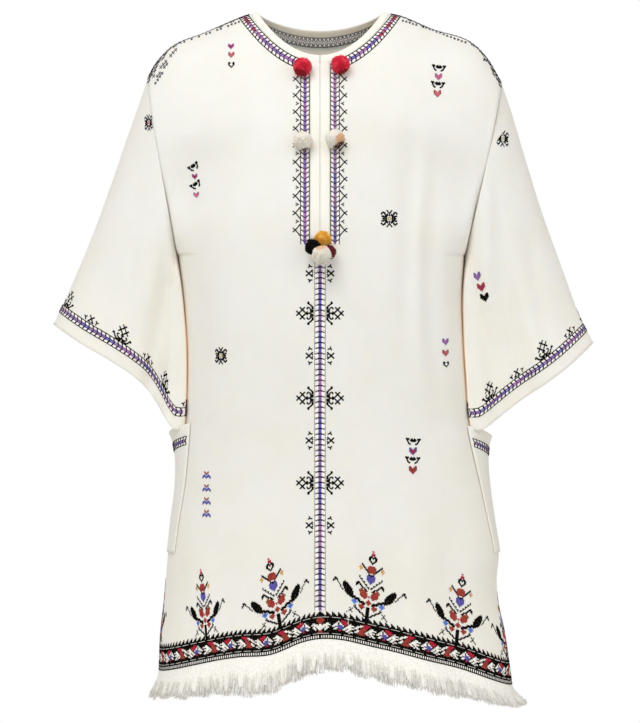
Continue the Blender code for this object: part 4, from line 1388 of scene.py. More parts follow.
# Small motifs of the front: place in the picture, turn, size or width, and colours
Motif = namedtuple("Motif", "kind x y degrees size colours")
MOTIFS_SEEN = (
    Motif("heart", 231, 46.5, 0.0, 1.08, "MD"),
    Motif("heart", 231.3, 55, 0.0, 1.08, "RP"),
    Motif("open heart", 231.3, 65, 0.0, 1.12, ""),
    Motif("scroll", 438.8, 68, -5.0, 1.0, ""),
    Motif("heart", 438.5, 77, 0.0, 1.3, "MP"),
    Motif("scroll", 437.9, 84.6, -5.0, 1.0, ""),
    Motif("heart", 437.4, 93.8, 0.0, 1.3, "RP"),
    Motif("scroll", 193.6, 166.9, 32.0, 0.82, ""),
    Motif("heart", 194.8, 176.6, 6.0, 1.0, "MD"),
    Motif("scroll", 195.8, 185, 32.0, 0.82, ""),
    Motif("heart", 196.4, 195, 6.0, 1.0, "MP"),
    Motif("scroll", 413.2, 441.5, -5.0, 1.06, ""),
    Motif("heart", 413, 451.4, 0.0, 1.35, "VD"),
    Motif("scroll", 412.6, 460, -5.0, 1.06, ""),
    Motif("heart", 412.9, 470.2, 0.0, 1.4, "DR"),
    Motif("heart", 445.6, 341.8, 3.0, 1.15, "NM"),
    Motif("heart", 445.7, 353, 3.0, 1.15, "RP"),
    Motif("open heart", 446.2, 364.4, 3.0, 1.05, ""),
    Motif("tulip", 206.5, 475, 0.0, 1.15, ""),
    Motif("tulip", 206.5, 488, 0.0, 1.15, ""),
    Motif("tulip", 206.5, 501, 0.0, 1.15, ""),
    Motif("tulip", 206.5, 513.5, 0.0, 1.15, ""),
    Motif("medallion", 389.5, 218.6, 0.0, 1.0, "L"),
    Motif("medallion", 220.8, 355.8, 0.0, 0.72, "L"),
)
BACK_MOTIFS = ((-96.0, -150.0), (88.0, -210.0), (-60.0, -430.0), (110.0, -520.0), (-128.0, -560.0))

# Strokes of the sprays: the width of the thread, then the places that it passes
SMALL_SPRAY = (
    (2.0, (4.2, 0.8), (2.2, 3.4), (0.0, 5.6), (-3.4, 9.4)),
    (1.8, (3.4, 2.8), (0.6, 0.8)),
    (1.8, (7.6, 1.4), (8.6, 4.4)),
    (1.8, (8.6, 4.4), (6.8, 6.8)),
    (1.8, (8.6, 4.4), (11.0, 5.6)),
)
LARGE_SPRAY = (
    (2.9, (0.4, 1.2), (8.2, 1.2)),
    (2.4, (0.8, 3.2), (4.6, 3.4)),
    (2.2, (7.6, 1.2), (10.4, 4.2), (12.6, 7.6), (13.6, 5.0)),
    (1.9, (4.2, 3.2), (7.2, 5.4), (6.6, 8.0), (4.6, 7.4)),
    (2.0, (7.4, 10.4), (-3.0, 20.8)),
    (2.0, (7.4, 16.6), (-2.2, 7.0)),
)

# Single cells of the plant: its low and high twigs, its berries and its crown of buds
TWIG_LOW = ((10, 11), (12, 8), (13, 7), (14, 6), (15, 5), (14, 8), (16, 4), (12, 5), (13, 6))
TWIG_HIGH = (
    (21, 21), (22, 22), (23, 23), (23, 24), (24, 25), (25, 26), (26, 27), (26, 28),
    (27, 28), (27, 29), (28, 28), (28, 27), (29, 27), (29, 26), (28, 29),
)
TWIG_BERRY = ((8, 41), (9, 41), (8, 42), (9, 42), (10, 42), (9, 43), (9, 40))
TREE_CROWN = (
    "..PP...",
    "...P...",
    "..CCC..",
    "..CCC..",
    ".KK.KK.",
    "KKKKKKK",
    "KKWKWKK",
    "KKWWWKK",
    ".KKWKK.",
    "..KKK..",
    "...K...",
)

# Where the picture shows the large spray of each cuff and the four plants of the hem
CUFF_SPRAY_SEEN = {LEFT: (124, 329), RIGHT: (542, 345)}
TREES_SEEN = ((206, 632), (280, 626), (366, 620), (456, 638))

# Rows of crosses below the shoulder seams, from one place in the picture to another
LaceRow = namedtuple("LaceRow", "start end inward arm way")
LACE_ROWS = (
    LaceRow((149, 80), (176, 48), 1.0, 1.7, 1),
    LaceRow((149, 82), (170, 55), 3.2, 1.5, 1),
    LaceRow((150, 82), (159, 69), 5.2, 1.3, 1),
    LaceRow((178, 42), (211, 30.5), 2.0, 1.2, 1),
    LaceRow((211, 30.5), (240, 19.5), 2.0, 1.2, 1),
    LaceRow((402, 18.5), (432, 28), 2.0, 1.2, -1),
    LaceRow((432, 28), (468, 41.5), 2.0, 1.2, -1),
    LaceRow((472, 44), (487, 60), 2.0, 1.4, -1),
)

# Zigzags of the shoulder lace, between two shares of the seam
ShoulderEdging = namedtuple("ShoulderEdging", "start end off period size width")
SHOULDER_EDGINGS = (
    ShoulderEdging(0.0, 0.3, 1.2, 15.0, 0.9, 1.4),
    ShoulderEdging(0.6, 1.0, 1.2, 15.0, 1.0, 1.6),
    ShoulderEdging(0.72, 1.0, 9.0, 14.0, 1.0, 1.7),
    ShoulderEdging(0.82, 1.0, 17.0, 13.0, 0.9, 1.7),
)


def border_letter(column, row):
    """Colour of the hem border, row 0 at the hem edge; None leaves the cloth bare."""
    if row in BORDER_BARE_ROWS:
        return None
    if row >= TEETH_ROW:
        return "K" if column % 4 < BORDER_ROWS - row else None
    design_row = DESIGN_TOP_ROW - row
    if not 0 <= design_row < len(BORDER_CENTRE):
        return "K"
    design = BORDER_CENTRE
    place = column
    beyond = column - len(BORDER_CENTRE[0])
    if beyond >= 0:
        place = beyond % BORDER_REPEAT
        design = BORDER_B if beyond // BORDER_REPEAT % 2 == 0 else BORDER_A
    letter = design[design_row][place]
    return "K" if letter == "." else letter


def hem_edge_on(face):
    """Height of the hem edge over each arc length of a panel."""
    edge = []
    for side in (LEFT, RIGHT):
        shares = np.linspace(0.0, 1.0, 200)
        height = HEM_CURVE[face](side * shares)
        edge.append((side * shares * half_width(side, height), height))
    xs = np.concatenate([edge[0][0][::-1], edge[1][0][1:]])
    heights = np.concatenate([edge[0][1][::-1], edge[1][1][1:]])
    arc = arc_lengths(panel_points(face, xs, heights)[:, :2])
    arc = arc - np.interp(0.0, xs, arc)
    if face == BACK:
        return -arc[::-1], heights[::-1]
    return arc, heights


class HemPatch:
    """The band over the hem, by arc length (u) and height above the hem edge (v)."""

    def __init__(self, patch, arcs, heights):
        self.patch = patch
        self.arcs = arcs
        self.heights = heights
        self.turn = patch.turn

    def edge(self, u):
        return np.interp(u, self.arcs, self.heights)

    def at(self, u, v, lift=0.0):
        return self.patch.at(u, self.edge(u) + v, lift)


def put_leaf(cells, start, end, width, colour):
    """Fill a pointed leaf between two places."""
    dx = end[0] - start[0]
    dy = end[1] - start[1]
    length = math.hypot(dx, dy)
    reach = int(length + width) + 2
    middle_x = int((start[0] + end[0]) / 2.0)
    middle_y = int((start[1] + end[1]) / 2.0)
    for column in range(middle_x - reach, middle_x + reach):
        for row in range(middle_y - reach, middle_y + reach):
            along = ((column - start[0]) * dx + (row - start[1]) * dy) / length ** 2
            off = abs((column - start[0]) * dy - (row - start[1]) * dx) / length
            if not 0.0 <= along <= 1.0:
                continue
            if off <= width / 2.0 * math.sin(math.pi * along) ** 0.7 + 0.3:
                cells[(column, row)] = colour


def put_diamond(cells, centre, radius, colour):
    """Fill a diamond of cells."""
    for column in range(-radius, radius + 1):
        for row in range(-radius, radius + 1):
            if abs(column) + abs(row) <= radius:
                cells[(centre[0] + column, centre[1] + row)] = colour


def put_cells(cells, places, colour, way=1):
    """Fill single cells; way -1 swaps left and right."""
    for column, row in places:
        cells[(way * column, row)] = colour


def put_stroke(cells, start, end, colour, width=1):
    """Fill the cells along a straight line with no gaps at its corners."""
    count = int(max(abs(end[0] - start[0]), abs(end[1] - start[1])) * 3) + 1
    before = None
    for step in range(count + 1):
        x = round(mix(start[0], end[0], step / count))
        y = round(mix(start[1], end[1], step / count))
        if before is not None and x != before[0] and y != before[1]:
            cells[(x, before[1])] = colour
        for extra in range(width):
            cells[(x, y + extra)] = colour
        before = (x, y)


def tree_plan():
    """Plant of life: trunk, twigs, paired leaves and a stem of buds, in counted cells."""
    cells = {}
    put_cells(cells, [(column, row) for row in range(-2, 12) for column in (-1, 0, 1)], "K")
    for way in (-1, 1):
        put_stroke(cells, (way * 2, 4), (way * 11, 10), "K")
        put_cells(cells, TWIG_LOW, "K", way)
        put_diamond(cells, (way * 5, 11), 2, "R")
        put_cells(cells, ((4, 13), (7, 12)), "G", way)
        put_diamond(cells, (way * 11, 14), 2, "B")
        put_cells(cells, ((11, 14),), "V", way)
        put_stroke(cells, (way * 3, 13), (way * 14, 18), "K", 2)
        put_leaf(cells, (way * 12.5, 16.0), (way * 21, 28.0), 5.8, "K")
        put_cells(cells, TWIG_HIGH, "K", way)
        put_leaf(cells, (way * 2.4, 18.0), (way * 7.2, 25.0), 5.0, "R")
        put_cells(cells, ((8, 23), (8, 24), (7, 25)), "G", way)
        put_stroke(cells, (way * 2, 24), (way * 10, 30), "K")
        put_stroke(cells, (way * 10, 29), (way * 11, 27), "K", 2)
        for step in range(9):
            above = (26, 27) if step % 2 == 0 else (26,)
            put_cells(cells, [(1 + step, row + step) for row in above], "K", way)
        put_stroke(cells, (way * 1, 37), (way * 8, 45), "K")
        put_cells(cells, TWIG_BERRY, "Y", way)
    put_diamond(cells, (0, 15), 2, "R")
    put_cells(cells, ((0, 19), (-1, 20), (1, 20), (0, 20)), "P")
    for row, half in enumerate((0, 1, 2, 3, 3, 3, 3)):
        put_cells(cells, [(column, 30 + row) for column in range(-half, half + 1)], "V")
    put_cells(cells, ((0, 36), (0, 37)), "K")
    for row in range(39, 45):
        half = 3 if 39 < row < 44 else 2
        put_cells(cells, [(column, row) for column in range(-half, half + 1)], "R")
    for number, letters in enumerate(TREE_CROWN):
        for column, letter in enumerate(letters):
            if letter != ".":
                cells[(column - 3, 56 - number)] = letter
    return cells


def chain_colour(letters, step, count):
    """Colour of one chain stitch, with the letters spread evenly over the chain."""
    return letters[min(int(step / count * len(letters)), len(letters) - 1)]


def ladder(stitches, path, width, pitch, chain, outer="K", line=1.45, droop=0.36, rung=2.1, core=0.2):
    """Two lines of thread with a thick chain between them, and rungs that dip toward the chain.

    path gives a place on the patch for a distance along and a distance across the ladder.
    """
    count = max(2, round(path.length / pitch))
    pitch = path.length / count
    half = width / 2.0
    reach = width * core
    for step in range(count):
        start = step * pitch
        end = start + pitch
        dip = start + pitch * droop
        colour = chain_colour(chain, step, count)
        low = path(dip - pitch * 0.05, 0.0)
        high = path(dip + pitch * 0.16, 0.0)
        stitches.bar(low, high, reach * 1.5, "K", THREAD_RISE * 1.9)
        for way in (-1, 1):
            stitches.bar(path(start, way * half), path(end, way * half), line, outer)
            stitches.bar(path(start, way * half), path(dip, way * reach * 0.3), rung, "K", THREAD_RISE * 1.5)
            stitches.pad((
                path(start + pitch * 0.1, way * reach * 0.8),
                path(start + pitch * 0.1, way * (half - 0.2)),
                path(end, way * (half - 0.2)),
                path(end, way * reach * 0.8),
            ), "W")
            low = path(dip - pitch * 0.02, way * reach * 0.62)
            high = path(dip + pitch * 1.02, way * reach * 0.5)
            stitches.bar(low, high, reach * 1.15, colour, THREAD_RISE * 1.2)


def edging(stitches, path, base, way, period=EDGING_PERIOD, size=1.0, width=1.5):
    """Zigzag whose lines cross at each point, and a small fork between the points."""
    count = max(1, round(path.length / period))
    period = path.length / count
    foot = base + way * 0.4
    for step in range(count):
        middle = (step + 0.5) * period
        cross = base + way * 6.4 * size
        tip = base + way * 9.6 * size
        for lean in (-1, 1):
            low = path(middle + lean * 7.2 * size, foot)
            knee = path(middle + lean * 3.8 * size, base + way * 3.0 * size)
            high = path(middle, cross)
            stitches.bar(low, knee, width * 1.1, "K")
            stitches.bar(knee, high, width, "K")
            stitches.bar(high, path(middle - lean * 2.6 * size, tip), width, "K")
        fork = middle + period / 2.0
        if fork < path.length - 2.0:
            head = path(fork, base + way * 3.4 * size)
            stitches.bar(path(fork, base + way * 1.9 * size), head, width * 0.8, "K")
            for lean in (-1, 1):
                end = path(fork + lean * 2.0 * size, base + way * 6.0 * size)
                stitches.bar(head, end, width * 0.85, "K")


class Track:
    """Line over a patch: distance along it, and distance across it to its left."""

    def __init__(self, places):
        self.places = np.array(places, float)
        self.arc = arc_lengths(self.places)
        self.length = float(self.arc[-1])

    def __call__(self, along, across):
        u = np.interp(along, self.arc, self.places[:, 0])
        v = np.interp(along, self.arc, self.places[:, 1])
        step = min(1.0, self.length * 0.01)
        low = max(along - step, 0.0)
        high = min(along + step, self.length)
        du = np.interp(high, self.arc, self.places[:, 0]) - np.interp(low, self.arc, self.places[:, 0])
        dv = np.interp(high, self.arc, self.places[:, 1]) - np.interp(low, self.arc, self.places[:, 1])
        size = math.hypot(du, dv) or 1.0
        return float(u - dv / size * across), float(v + du / size * across)


def draw_spray(stitches, frame, strokes):
    """Black back stitches from strokes of a width and places, mirrored across."""
    for way in (-1, 1):
        for width, *points in strokes:
            stitches.line(frame, [(way * a, b) for a, b in points], width, "K")


def small_spray(stitches, frame):
    """Small black spray: two stems that cross over a base, with a forked twig on each side."""
    draw_spray(stitches, frame, SMALL_SPRAY)


def large_spray(stitches, frame):
    """Large black spray: a jagged base, two scrolls and a lattice diamond with crossed tips."""
    draw_spray(stitches, frame, LARGE_SPRAY)
    stitches.line(frame, ((0.0, 2.4), (0.0, 9.2)), 2.4, "K")


MEDALLION_QUARTER = (
    (1.9, (0.0, 6.2), (3.4, 10.4)),
    (2.5, (2.6, 2.8), (5.0, 4.8), (6.2, 7.6), (8.8, 7.2), (9.8, 4.9)),
    (2.3, (2.6, 1.6), (6.2, 2.6), (9.8, 3.0)),
    (2.1, (1.8, 3.2), (2.8, 6.0)),
    (1.9, (5.4, 1.0), (8.0, 0.4)),
)


def draw_strokes(stitches, frame, strokes, ways, wide=1.0):
    """Short black stitches from strokes of a width and places, mirrored across and up."""
    for i, k in ways:
        for width, *points in strokes:
            stitches.line(frame, [(i * a * wide, k * b) for a, b in points], width, "K", 3.4)


def medallion(stitches, frame, centre="L", wide=1.0):
    """Black medallion: rams' horns at the corners, forks above and below, and a pale middle."""
    draw_strokes(stitches, frame, MEDALLION_QUARTER, ((1, 1), (-1, 1), (1, -1), (-1, -1)), wide)
    for way in (-1, 1):
        stitches.line(frame, [(way * 2.6 * wide, 0.0), (way * 8.8 * wide, 0.0)], 2.0, "K", 3.4)
        stitches.line(frame, [(0.0, way * 2.6), (0.0, way * 6.2)], 1.8, "K", 3.4)
    for across, up in ((-1.0, 0.9), (1.0, 0.9), (-1.0, -0.9), (1.0, -0.9)):
        stitches.cross(frame, across * wide, up, 1.9, centre, 1.9 * wide)
    stitches.cross(frame, 0.0, 0.0, 1.2, "W")


def running_stitches(stitches, track, stitch=2.6, gap=1.1):
    """Row of small ivory running stitches beside a turned edge."""
    along = gap
    while along + stitch < track.length:
        stitches.bar(track(along, 0.0), track(along + stitch, 0.0), 0.55, "W", 0.22)
        along += stitch + gap


def heart(stitches, frame, edge, inner, size=1.3):
    """Filled heart of two colours."""
    stitches.chart(frame, HEART, size, {"E": edge, "I": inner})


def scroll(stitches, frame, wide=1.0):
    """Black crest of two scrolls."""
    draw_strokes(stitches, frame, SCROLL_HALF, BOTH_WAYS, wide)


def scattered_motifs(stitches, patch):
    """The small motifs spread over the front, each at its place in the picture."""
    for motif in MOTIFS_SEEN:
        frame = patch.seen_frame(motif.x, motif.y, motif.degrees)
        if motif.kind == "heart":
            heart(stitches, frame, *motif.colours, motif.size)
        elif motif.kind == "open heart":
            stitches.chart(frame, OPEN_HEART, motif.size)
        elif motif.kind == "scroll":
            scroll(stitches, frame, motif.size)
        elif motif.kind == "tulip":
            stitches.chart(frame, TULIP, motif.size)
        else:
            medallion(stitches, frame, motif.colours, motif.size)


def centre_motifs(stitches, patch):
    """Paired sprays on both sides of the ladder down the middle."""
    for pixel_y, grow in ((274, small_spray), (313, large_spray), (355, small_spray),
                          (398, large_spray), (441, small_spray), (483, large_spray),
                          (525, small_spray)):
        _, height = patch.seen_at(320, pixel_y)
        for way in (-1, 1):
            start = way * (CENTRE_LADDER_WIDTH / 2.0 + 1.4)
            grow(stitches, turned(start, height, -90.0 * way))


def embroider_front(patch, neck, hem):
    """Threads on the front panel, by area."""
    pieces = []

    trim = Stitches(neck, seed=11)
    start = neck_reach(neck, SLIT_HALF + LADDER_WIDTH - 2.0)
    end = float(neck.columns[-1] * 0.995)
    for side, chain in ((LEFT, "NMNNMNMMDMDDMDD"), (RIGHT, "VNVNMVNVMDMDDMDDMDD")):
        shares = np.linspace(0.0, 1.0, 60)
        places = [(side * mix(start, end, share), neck_trim_middle(share)) for share in shares]
        ladder(trim, Track(places), NECK_LADDER_WIDTH, LADDER_PITCH, chain)
    pieces.append(trim.make("embroidery_neck_front"))

    placket = Stitches(patch, seed=12)
    top = float(neck_height(FRONT, 0.0, NECK_SEAM_HALF)) - 1.0
    for side, chain in ((LEFT, "MNNMNNMNNMNNNMNN"), (RIGHT, "MMMMNMMMMNMNVNMNVNVM")):
        middle = side * (SLIT_HALF + 0.9 + LADDER_WIDTH / 2.0)
        track = Track([(middle, v) for v in np.linspace(top, PLACKET_FOOT, 40)])
        ladder(placket, track, LADDER_WIDTH, PLACKET_LADDER_PITCH, chain,
               line=1.25, droop=0.48, rung=1.5, core=0.18)
        edge = LADDER_WIDTH / 2.0
        first = PLACKET_EDGING_TOP + EDGING_PERIOD / 2.0
        below = Track([(middle, v) for v in np.linspace(first, first - 10.0 * EDGING_PERIOD, 40)])
        edging(placket, below, side * edge, side)
    pieces.append(placket.make("embroidery_placket"))

    centre = Stitches(patch, seed=13)
    foot = float(hem.edge(0.0)) + (BORDER_ROWS + 0.5) * STITCH
    track = Track([(0.0, v) for v in np.linspace(CENTRE_LADDER_TOP, foot, 60)])
    centre_ladder(centre, track)
    centre_motifs(centre, patch)
    pieces.append(centre.make("embroidery_centre"))

    motifs = Stitches(patch, seed=14)
    scattered_motifs(motifs, patch)
    pieces.append(motifs.make("embroidery_motifs_front"))
    return pieces


def neck_trim_middle(share):
    """Distance of the middle of the neck ladder from the neck seam, wider toward the shoulder."""
    return mix(5.3, 8.8, share ** 1.3)


def neck_reach(neck, x):
    """Arc length on a neck patch at a distance from the middle."""
    points = neck.points[NECK_PATCH_TRIM_ROW]
    order = np.argsort(points[:, 0])
    return abs(float(np.interp(x, points[order, 0], neck.columns[order])))


def centre_ladder(stitches, track):
    """Wide ladder with dotted outer lines and a chain of violet down its middle."""
    count = round(track.length / CENTRE_LADDER_PITCH)
    pitch = track.length / count
    half = CENTRE_LADDER_WIDTH / 2.0
    for step in range(count):
        start = step * pitch
        colour = chain_colour("NVNVNMNVNNVNMNVN", step, count)
        stitches.bar(track(start + 0.2, 0.0), track(start + 1.4, 0.0), 2.3, "K", THREAD_RISE * 1.9)
        for way in (-1, 1):
            knee = track(start + 1.3, way * half * 0.5)
            stitches.bar(track(start + 0.9, way * 0.2), knee, 2.2, "K", THREAD_RISE * 1.5)
            stitches.bar(knee, track(start + 2.3, way * half * 0.94), 1.6, "K")
            stitches.pad((
                track(start + pitch * 0.2, way * 1.4),
                track(start + pitch * 0.2, way * (half - 0.3)),
                track(start + pitch, way * (half - 0.3)),
                track(start + pitch, way * 1.4),
            ), "W")
            for dot in range(3):
                low = start + (dot + 0.1) * pitch / 3.0
                high = start + (dot + 0.75) * pitch / 3.0
                tone = "H" if dot else "K"
                stitches.bar(track(low, way * half), track(high, way * half), 1.2, tone)
            low = track(start + 0.6, way * 1.05)
            high = track(start + pitch * 1.05, way * 0.95)
            stitches.bar(low, high, 2.3, colour, THREAD_RISE * 1.15)


def embroider_border(hem, name, reach, seed):
    """Cross-stitched border over the hem; its motifs and teeth lean toward the middle."""
    border = Stitches(hem, seed=seed)
    frame = Frame(0.0, STITCH * 0.5)

    def block(side, left, right, low, high, colour, lift):
        corners = ((left, low), (right, low), (right, high), (left, high))
        border.pad([frame.place(side * a, b * STITCH) for a, b in corners], colour, lift)

    for side in (LEFT, RIGHT):
        limit = abs(reach[0] if side == LEFT else reach[1])
        wide = STITCH * BORDER_STRETCH[side]
        for column in range(int(limit / wide)):
            u = side * (column + 0.5) * wide
            for row in range(BORDER_ROWS):
                letter = border_letter(column, row)
                if letter is not None:
                    border.cross(frame, u, row * STITCH, STITCH, letter, wide=wide)
            if column % 8 < 6:
                for row in (4, 17):
                    start = frame.place(u - wide * 0.5, row * STITCH)
                    end = frame.place(u + wide * 0.5, row * STITCH)
                    border.bar(start, end, 1.15, "W", THREAD_RISE * 1.5)
        tick = 0.0
        while tick < limit - TICK_PITCH:
            block(side, tick, tick + TICK_PITCH * 0.5, 0.5, 2.5, "K", 0.3)
            block(side, tick + TICK_PITCH * 0.5, tick + TICK_PITCH, 0.5, 2.5, "W", 0.2)
            tick += TICK_PITCH
    return border.make(name)


def embroider_trees(patch, hem, name, places, widths, reach, seed):
    """Plants in a row over the hem border, cut off at the side seams."""
    trees = Stitches(patch, seed=seed)
    plan = tree_plan()
    for u, wide in zip(places, widths):
        base = float(hem.edge(u)) + (BORDER_ROWS - 3.0) * STITCH
        rise = float(hem.edge(u + 12.0) - hem.edge(u - 12.0)) / 24.0
        slope = math.atan(rise)
        across = (math.cos(slope) * wide, math.sin(slope) * wide)
        up = (-math.sin(slope * 0.45), math.cos(slope * 0.45))
        frame = Frame(u, base, across, up)
        for (column, row), colour in plan.items():
            place = u + column * STITCH * across[0] + row * STITCH * up[0]
            if reach[0] + 1.0 < place < reach[1] - 1.0:
                trees.cross(frame, column * STITCH, row * STITCH, STITCH, colour)
    return trees.make(name)


def embroider_sleeve(side, patch):
    """Ladder over the cuff hem, sprays standing on it, and the small motifs of a sleeve."""
    sleeve = Stitches(patch, 20 + side)
    length = float(patch.columns[-1])
    around = np.linspace(0.0, length, 200)
    ladder(sleeve, level_track(around, CUFF_HEM + LADDER_WIDTH / 2.0), LADDER_WIDTH, LADDER_PITCH,
           "NVNNVNMN" * 6)
    anchor, _ = patch.seen_at(*CUFF_SPRAY_SEEN[side])
    first = anchor - MOTIF_PITCH * math.floor(anchor / MOTIF_PITCH / 2.0) * 2.0
    for number in range(-1, int(length / MOTIF_PITCH) + 2):
        u = first + number * MOTIF_PITCH
        if not 12.0 < u < length - 12.0:
            continue
        grow = large_spray if number % 2 == 0 else small_spray
        grow(sleeve, Frame(u, CUFF_HEM + LADDER_WIDTH + 0.4))
    if side == LEFT:
        medallion(sleeve, patch.seen_frame(148.6, 122.7, 4.0), "P", 0.62)
    else:
        medallion(sleeve, patch.seen_frame(503.0, 138.5, -4.0), "L", 0.9)
        hearts = ((477.2, 276.6, "V", "M"), (481.3, 287.3, "R", "D"), (484.8, 297.5, "K", "K"))
        for pixel_x, pixel_y, edge, inner in hearts:
            heart(sleeve, patch.seen_frame(pixel_x, pixel_y, 14.0), edge, inner, 1.5)
    running_stitches(sleeve, level_track(around, CUFF_HEM - 2.2))
    return sleeve.make(f"embroidery_sleeve_{SIDE_NAMES[side]}")


def level_track(us, v):
    """Track at one height over a patch."""
    return Track([(u, v) for u in us])


def embroider_pocket(side, patch):
    """Ladder along the top of a pocket, over its turned edge."""
    pocket = Stitches(patch, 30 + side)
    length = float(patch.columns[-1])
    middle = POCKET_HEM + LADDER_WIDTH / 2.0
    track = level_track(np.linspace(0.5, length - 0.5, 80), middle)
    ladder(pocket, track, LADDER_WIDTH, LADDER_PITCH, "NVNNMNVN" * 2)
    running_stitches(pocket, level_track(np.linspace(1.0, length - 1.0, 80), POCKET_HEM - 2.0))
    return pocket.make(f"embroidery_pocket_{SIDE_NAMES[side]}")


def embroider_shoulder(face, side, patch):
    """Lace of thread along a shoulder seam, deepest by the neck and at the armhole."""
    shoulder = Stitches(patch, 40 + face + 3 * side)
    length = float(patch.columns[-1])

    def track(start, end, down):
        return level_track(np.linspace(length * start, length * end, 60), down)

    seam = track(0.0, 1.0, LADDER_WIDTH / 2.0 + 0.9)
    ladder(shoulder, seam, LADDER_WIDTH, LADDER_PITCH, "NHNHMHN", "H", 0.9)
    for start, end, off, period, size, width in SHOULDER_EDGINGS:
        edging(shoulder, track(start, end, 0.0), LADDER_WIDTH + off, 1, period, size, width)
    return shoulder.make(f"embroidery_shoulder_{FACE_NAMES[face]}_{SIDE_NAMES[side]}")


def embroider_armhole_lace(patch):
    """Open lace of small crosses below the shoulder seams, deepest at the left armhole."""
    lace = Stitches(patch, 47)
    for start, end, inward, arm, way in LACE_ROWS:
        length = math.hypot(end[0] - start[0], end[1] - start[1])
        inward_x = inward * abs(end[1] - start[1]) / length * way
        inward_y = inward * abs(end[0] - start[0]) / length
        count = max(1, round(length / LACE_STEP))
        for step in range(count):
            share = (step + 0.5) / count
            x = mix(start[0], end[0], share) + inward_x
            y = mix(start[1], end[1], share) + inward_y
            frame = patch.seen_frame(x, y, 0.0, 1.5)
            corners = [frame.place(i * arm * 1.4, k * arm * 1.4) for i in (-1, 1) for k in (-1, 1)]
            if max(float(patch.at(*corner)[1]) for corner in corners) > -LACE_MARGIN:
                continue
            for lean in (-1, 1):
                lace.bar(frame.place(-arm * lean, -arm), frame.place(arm * lean, arm), 1.1, "K")
            lace.bar(frame.place(-arm, arm * 1.3), frame.place(arm, arm * 1.3), 0.7, "H")
    return lace.make("embroidery_armhole_lace")


def embroider_back_neck(neck):
    """Ladder round the back of the neck, and the lattice of its reverse on the inside."""
    length = float(neck.columns[-1] * 0.995)
    around = np.linspace(-length, length, 120)
    trim = Stitches(neck, 51)
    track = Track([(u, 6.0 + 2.8 * abs(u / length) ** 4) for u in around])
    ladder(trim, track, NECK_LADDER_WIDTH, LADDER_PITCH, "DDMNVNVNVNMDD")

    lattice = Stitches(neck, 52, inside_lift=LATTICE_LIFT)
    track = level_track(around, 2.6)
    half = LATTICE_HALF
    count = int(2.0 * length / 5.6)
    pitch = 2.0 * length / count
    for step in range(count):
        start = step * pitch
        middle = start + pitch * 0.5
        for way in (-1, 1):
            for dot in (0.05, 0.55):
                low = track(start + pitch * dot, way * half)
                lattice.bar(low, track(start + pitch * (dot + 0.34), way * half), 1.5, "K", 0.45)
            for foot, lean in ((start, -0.5), (start + pitch, 0.5)):
                low = track(foot, way * half * 0.85)
                lattice.bar(low, track(middle + lean, way * 0.5), 1.35, "K", 0.45)
        lattice.bar(track(start - 0.9, 0.0), track(start + 0.9, 0.0), 2.2, "NVNMVNM"[step % 7], 0.45)
    for step in range(int(2.0 * length / LATTICE_PAD)):
        low = step * LATTICE_PAD
        high = low + LATTICE_PAD
        corners = ((low, -half), (high, -half), (high, half), (low, half))
        lattice.pad([track(*corner) for corner in corners], "W", 0.0)
    return [trim.make("embroidery_neck_back"), lattice.make("embroidery_neck_back_inside")]


def embroider_back(patch):
    """Motifs on the back panel, spread as on the front."""
    motifs = Stitches(patch, 61)
    for number, (u, v) in enumerate(BACK_MOTIFS):
        if number % 2 == 0:
            scroll(motifs, Frame(u, v))
            heart(motifs, Frame(u, v - 11.0), "M", "P")
            scroll(motifs, Frame(u, v - 20.5))
            heart(motifs, Frame(u, v - 31.5), "R", "P")
        else:
            heart(motifs, Frame(u, v), "N", "M", 1.25)
            heart(motifs, Frame(u, v - 13.0), "R", "P", 1.25)
            motifs.chart(Frame(u, v - 26.0), OPEN_HEART, 1.2)
    medallion(motifs, Frame(58.0, -330.0))
    medallion(motifs, Frame(-140.0, -330.0), "L", 0.8)
    for step in range(4):
        motifs.chart(Frame(20.0, -560.0 - 15.0 * step), TULIP, 1.15)
    return motifs.make("embroidery_motifs_back")


# Yarn


def ring_faces(rings, corners):
    """Faces of a tube of rings, each with the same number of corners."""
    faces = []
    for ring in range(rings - 1):
        low = ring * corners
        high = low + corners
        for corner in range(corners):
            after = (corner + 1) % corners
            faces.append((low + corner, high + corner, high + after, low + after))
    return faces


def strand_mesh(paths, widths):
    """Three-sided tapering strands along paths of points, joined in one mesh."""
    count, rings = paths.shape[:2]
    direction = unit(np.gradient(paths, axis=1))
    helper = np.where(np.abs(direction[..., 1:2]) < 0.9, [0.0, 1.0, 0.0], [1.0, 0.0, 0.0])
    first = unit(np.cross(direction, helper))
    second = np.cross(direction, first)
    sides = 3
    layers = []
    for corner in range(sides):
        angle = 2.0 * math.pi * corner / sides
        offset = first * math.cos(angle) + second * math.sin(angle)
        layers.append(paths + offset * widths[..., None] / 2.0)
    vertices = np.stack(layers, axis=2).reshape(-1, 3)
    tip = np.array([(rings - 1) * sides + corner for corner in (2, 1, 0)])
    start = np.arange(count)[:, None, None] * rings * sides
    body = (np.array(ring_faces(rings, sides))[None] + start).reshape(-1, 4).tolist()
    tips = (tip[None] + np.arange(count)[:, None] * rings * sides).tolist()
    return vertices, body + tips


def flare_at(x):
    """Outward lean of the fringe, in degrees, at a distance from the middle."""
    end = np.where(x < 0.0, FLARE_LEFT, FLARE_RIGHT)
    side = np.where(x < 0.0, LEFT, RIGHT)
    foot = half_width(side, BODY[-1].height)
    return mix(FLARE_MIDDLE, end, np.minimum(np.abs(x) / foot, 1.0) ** 4)


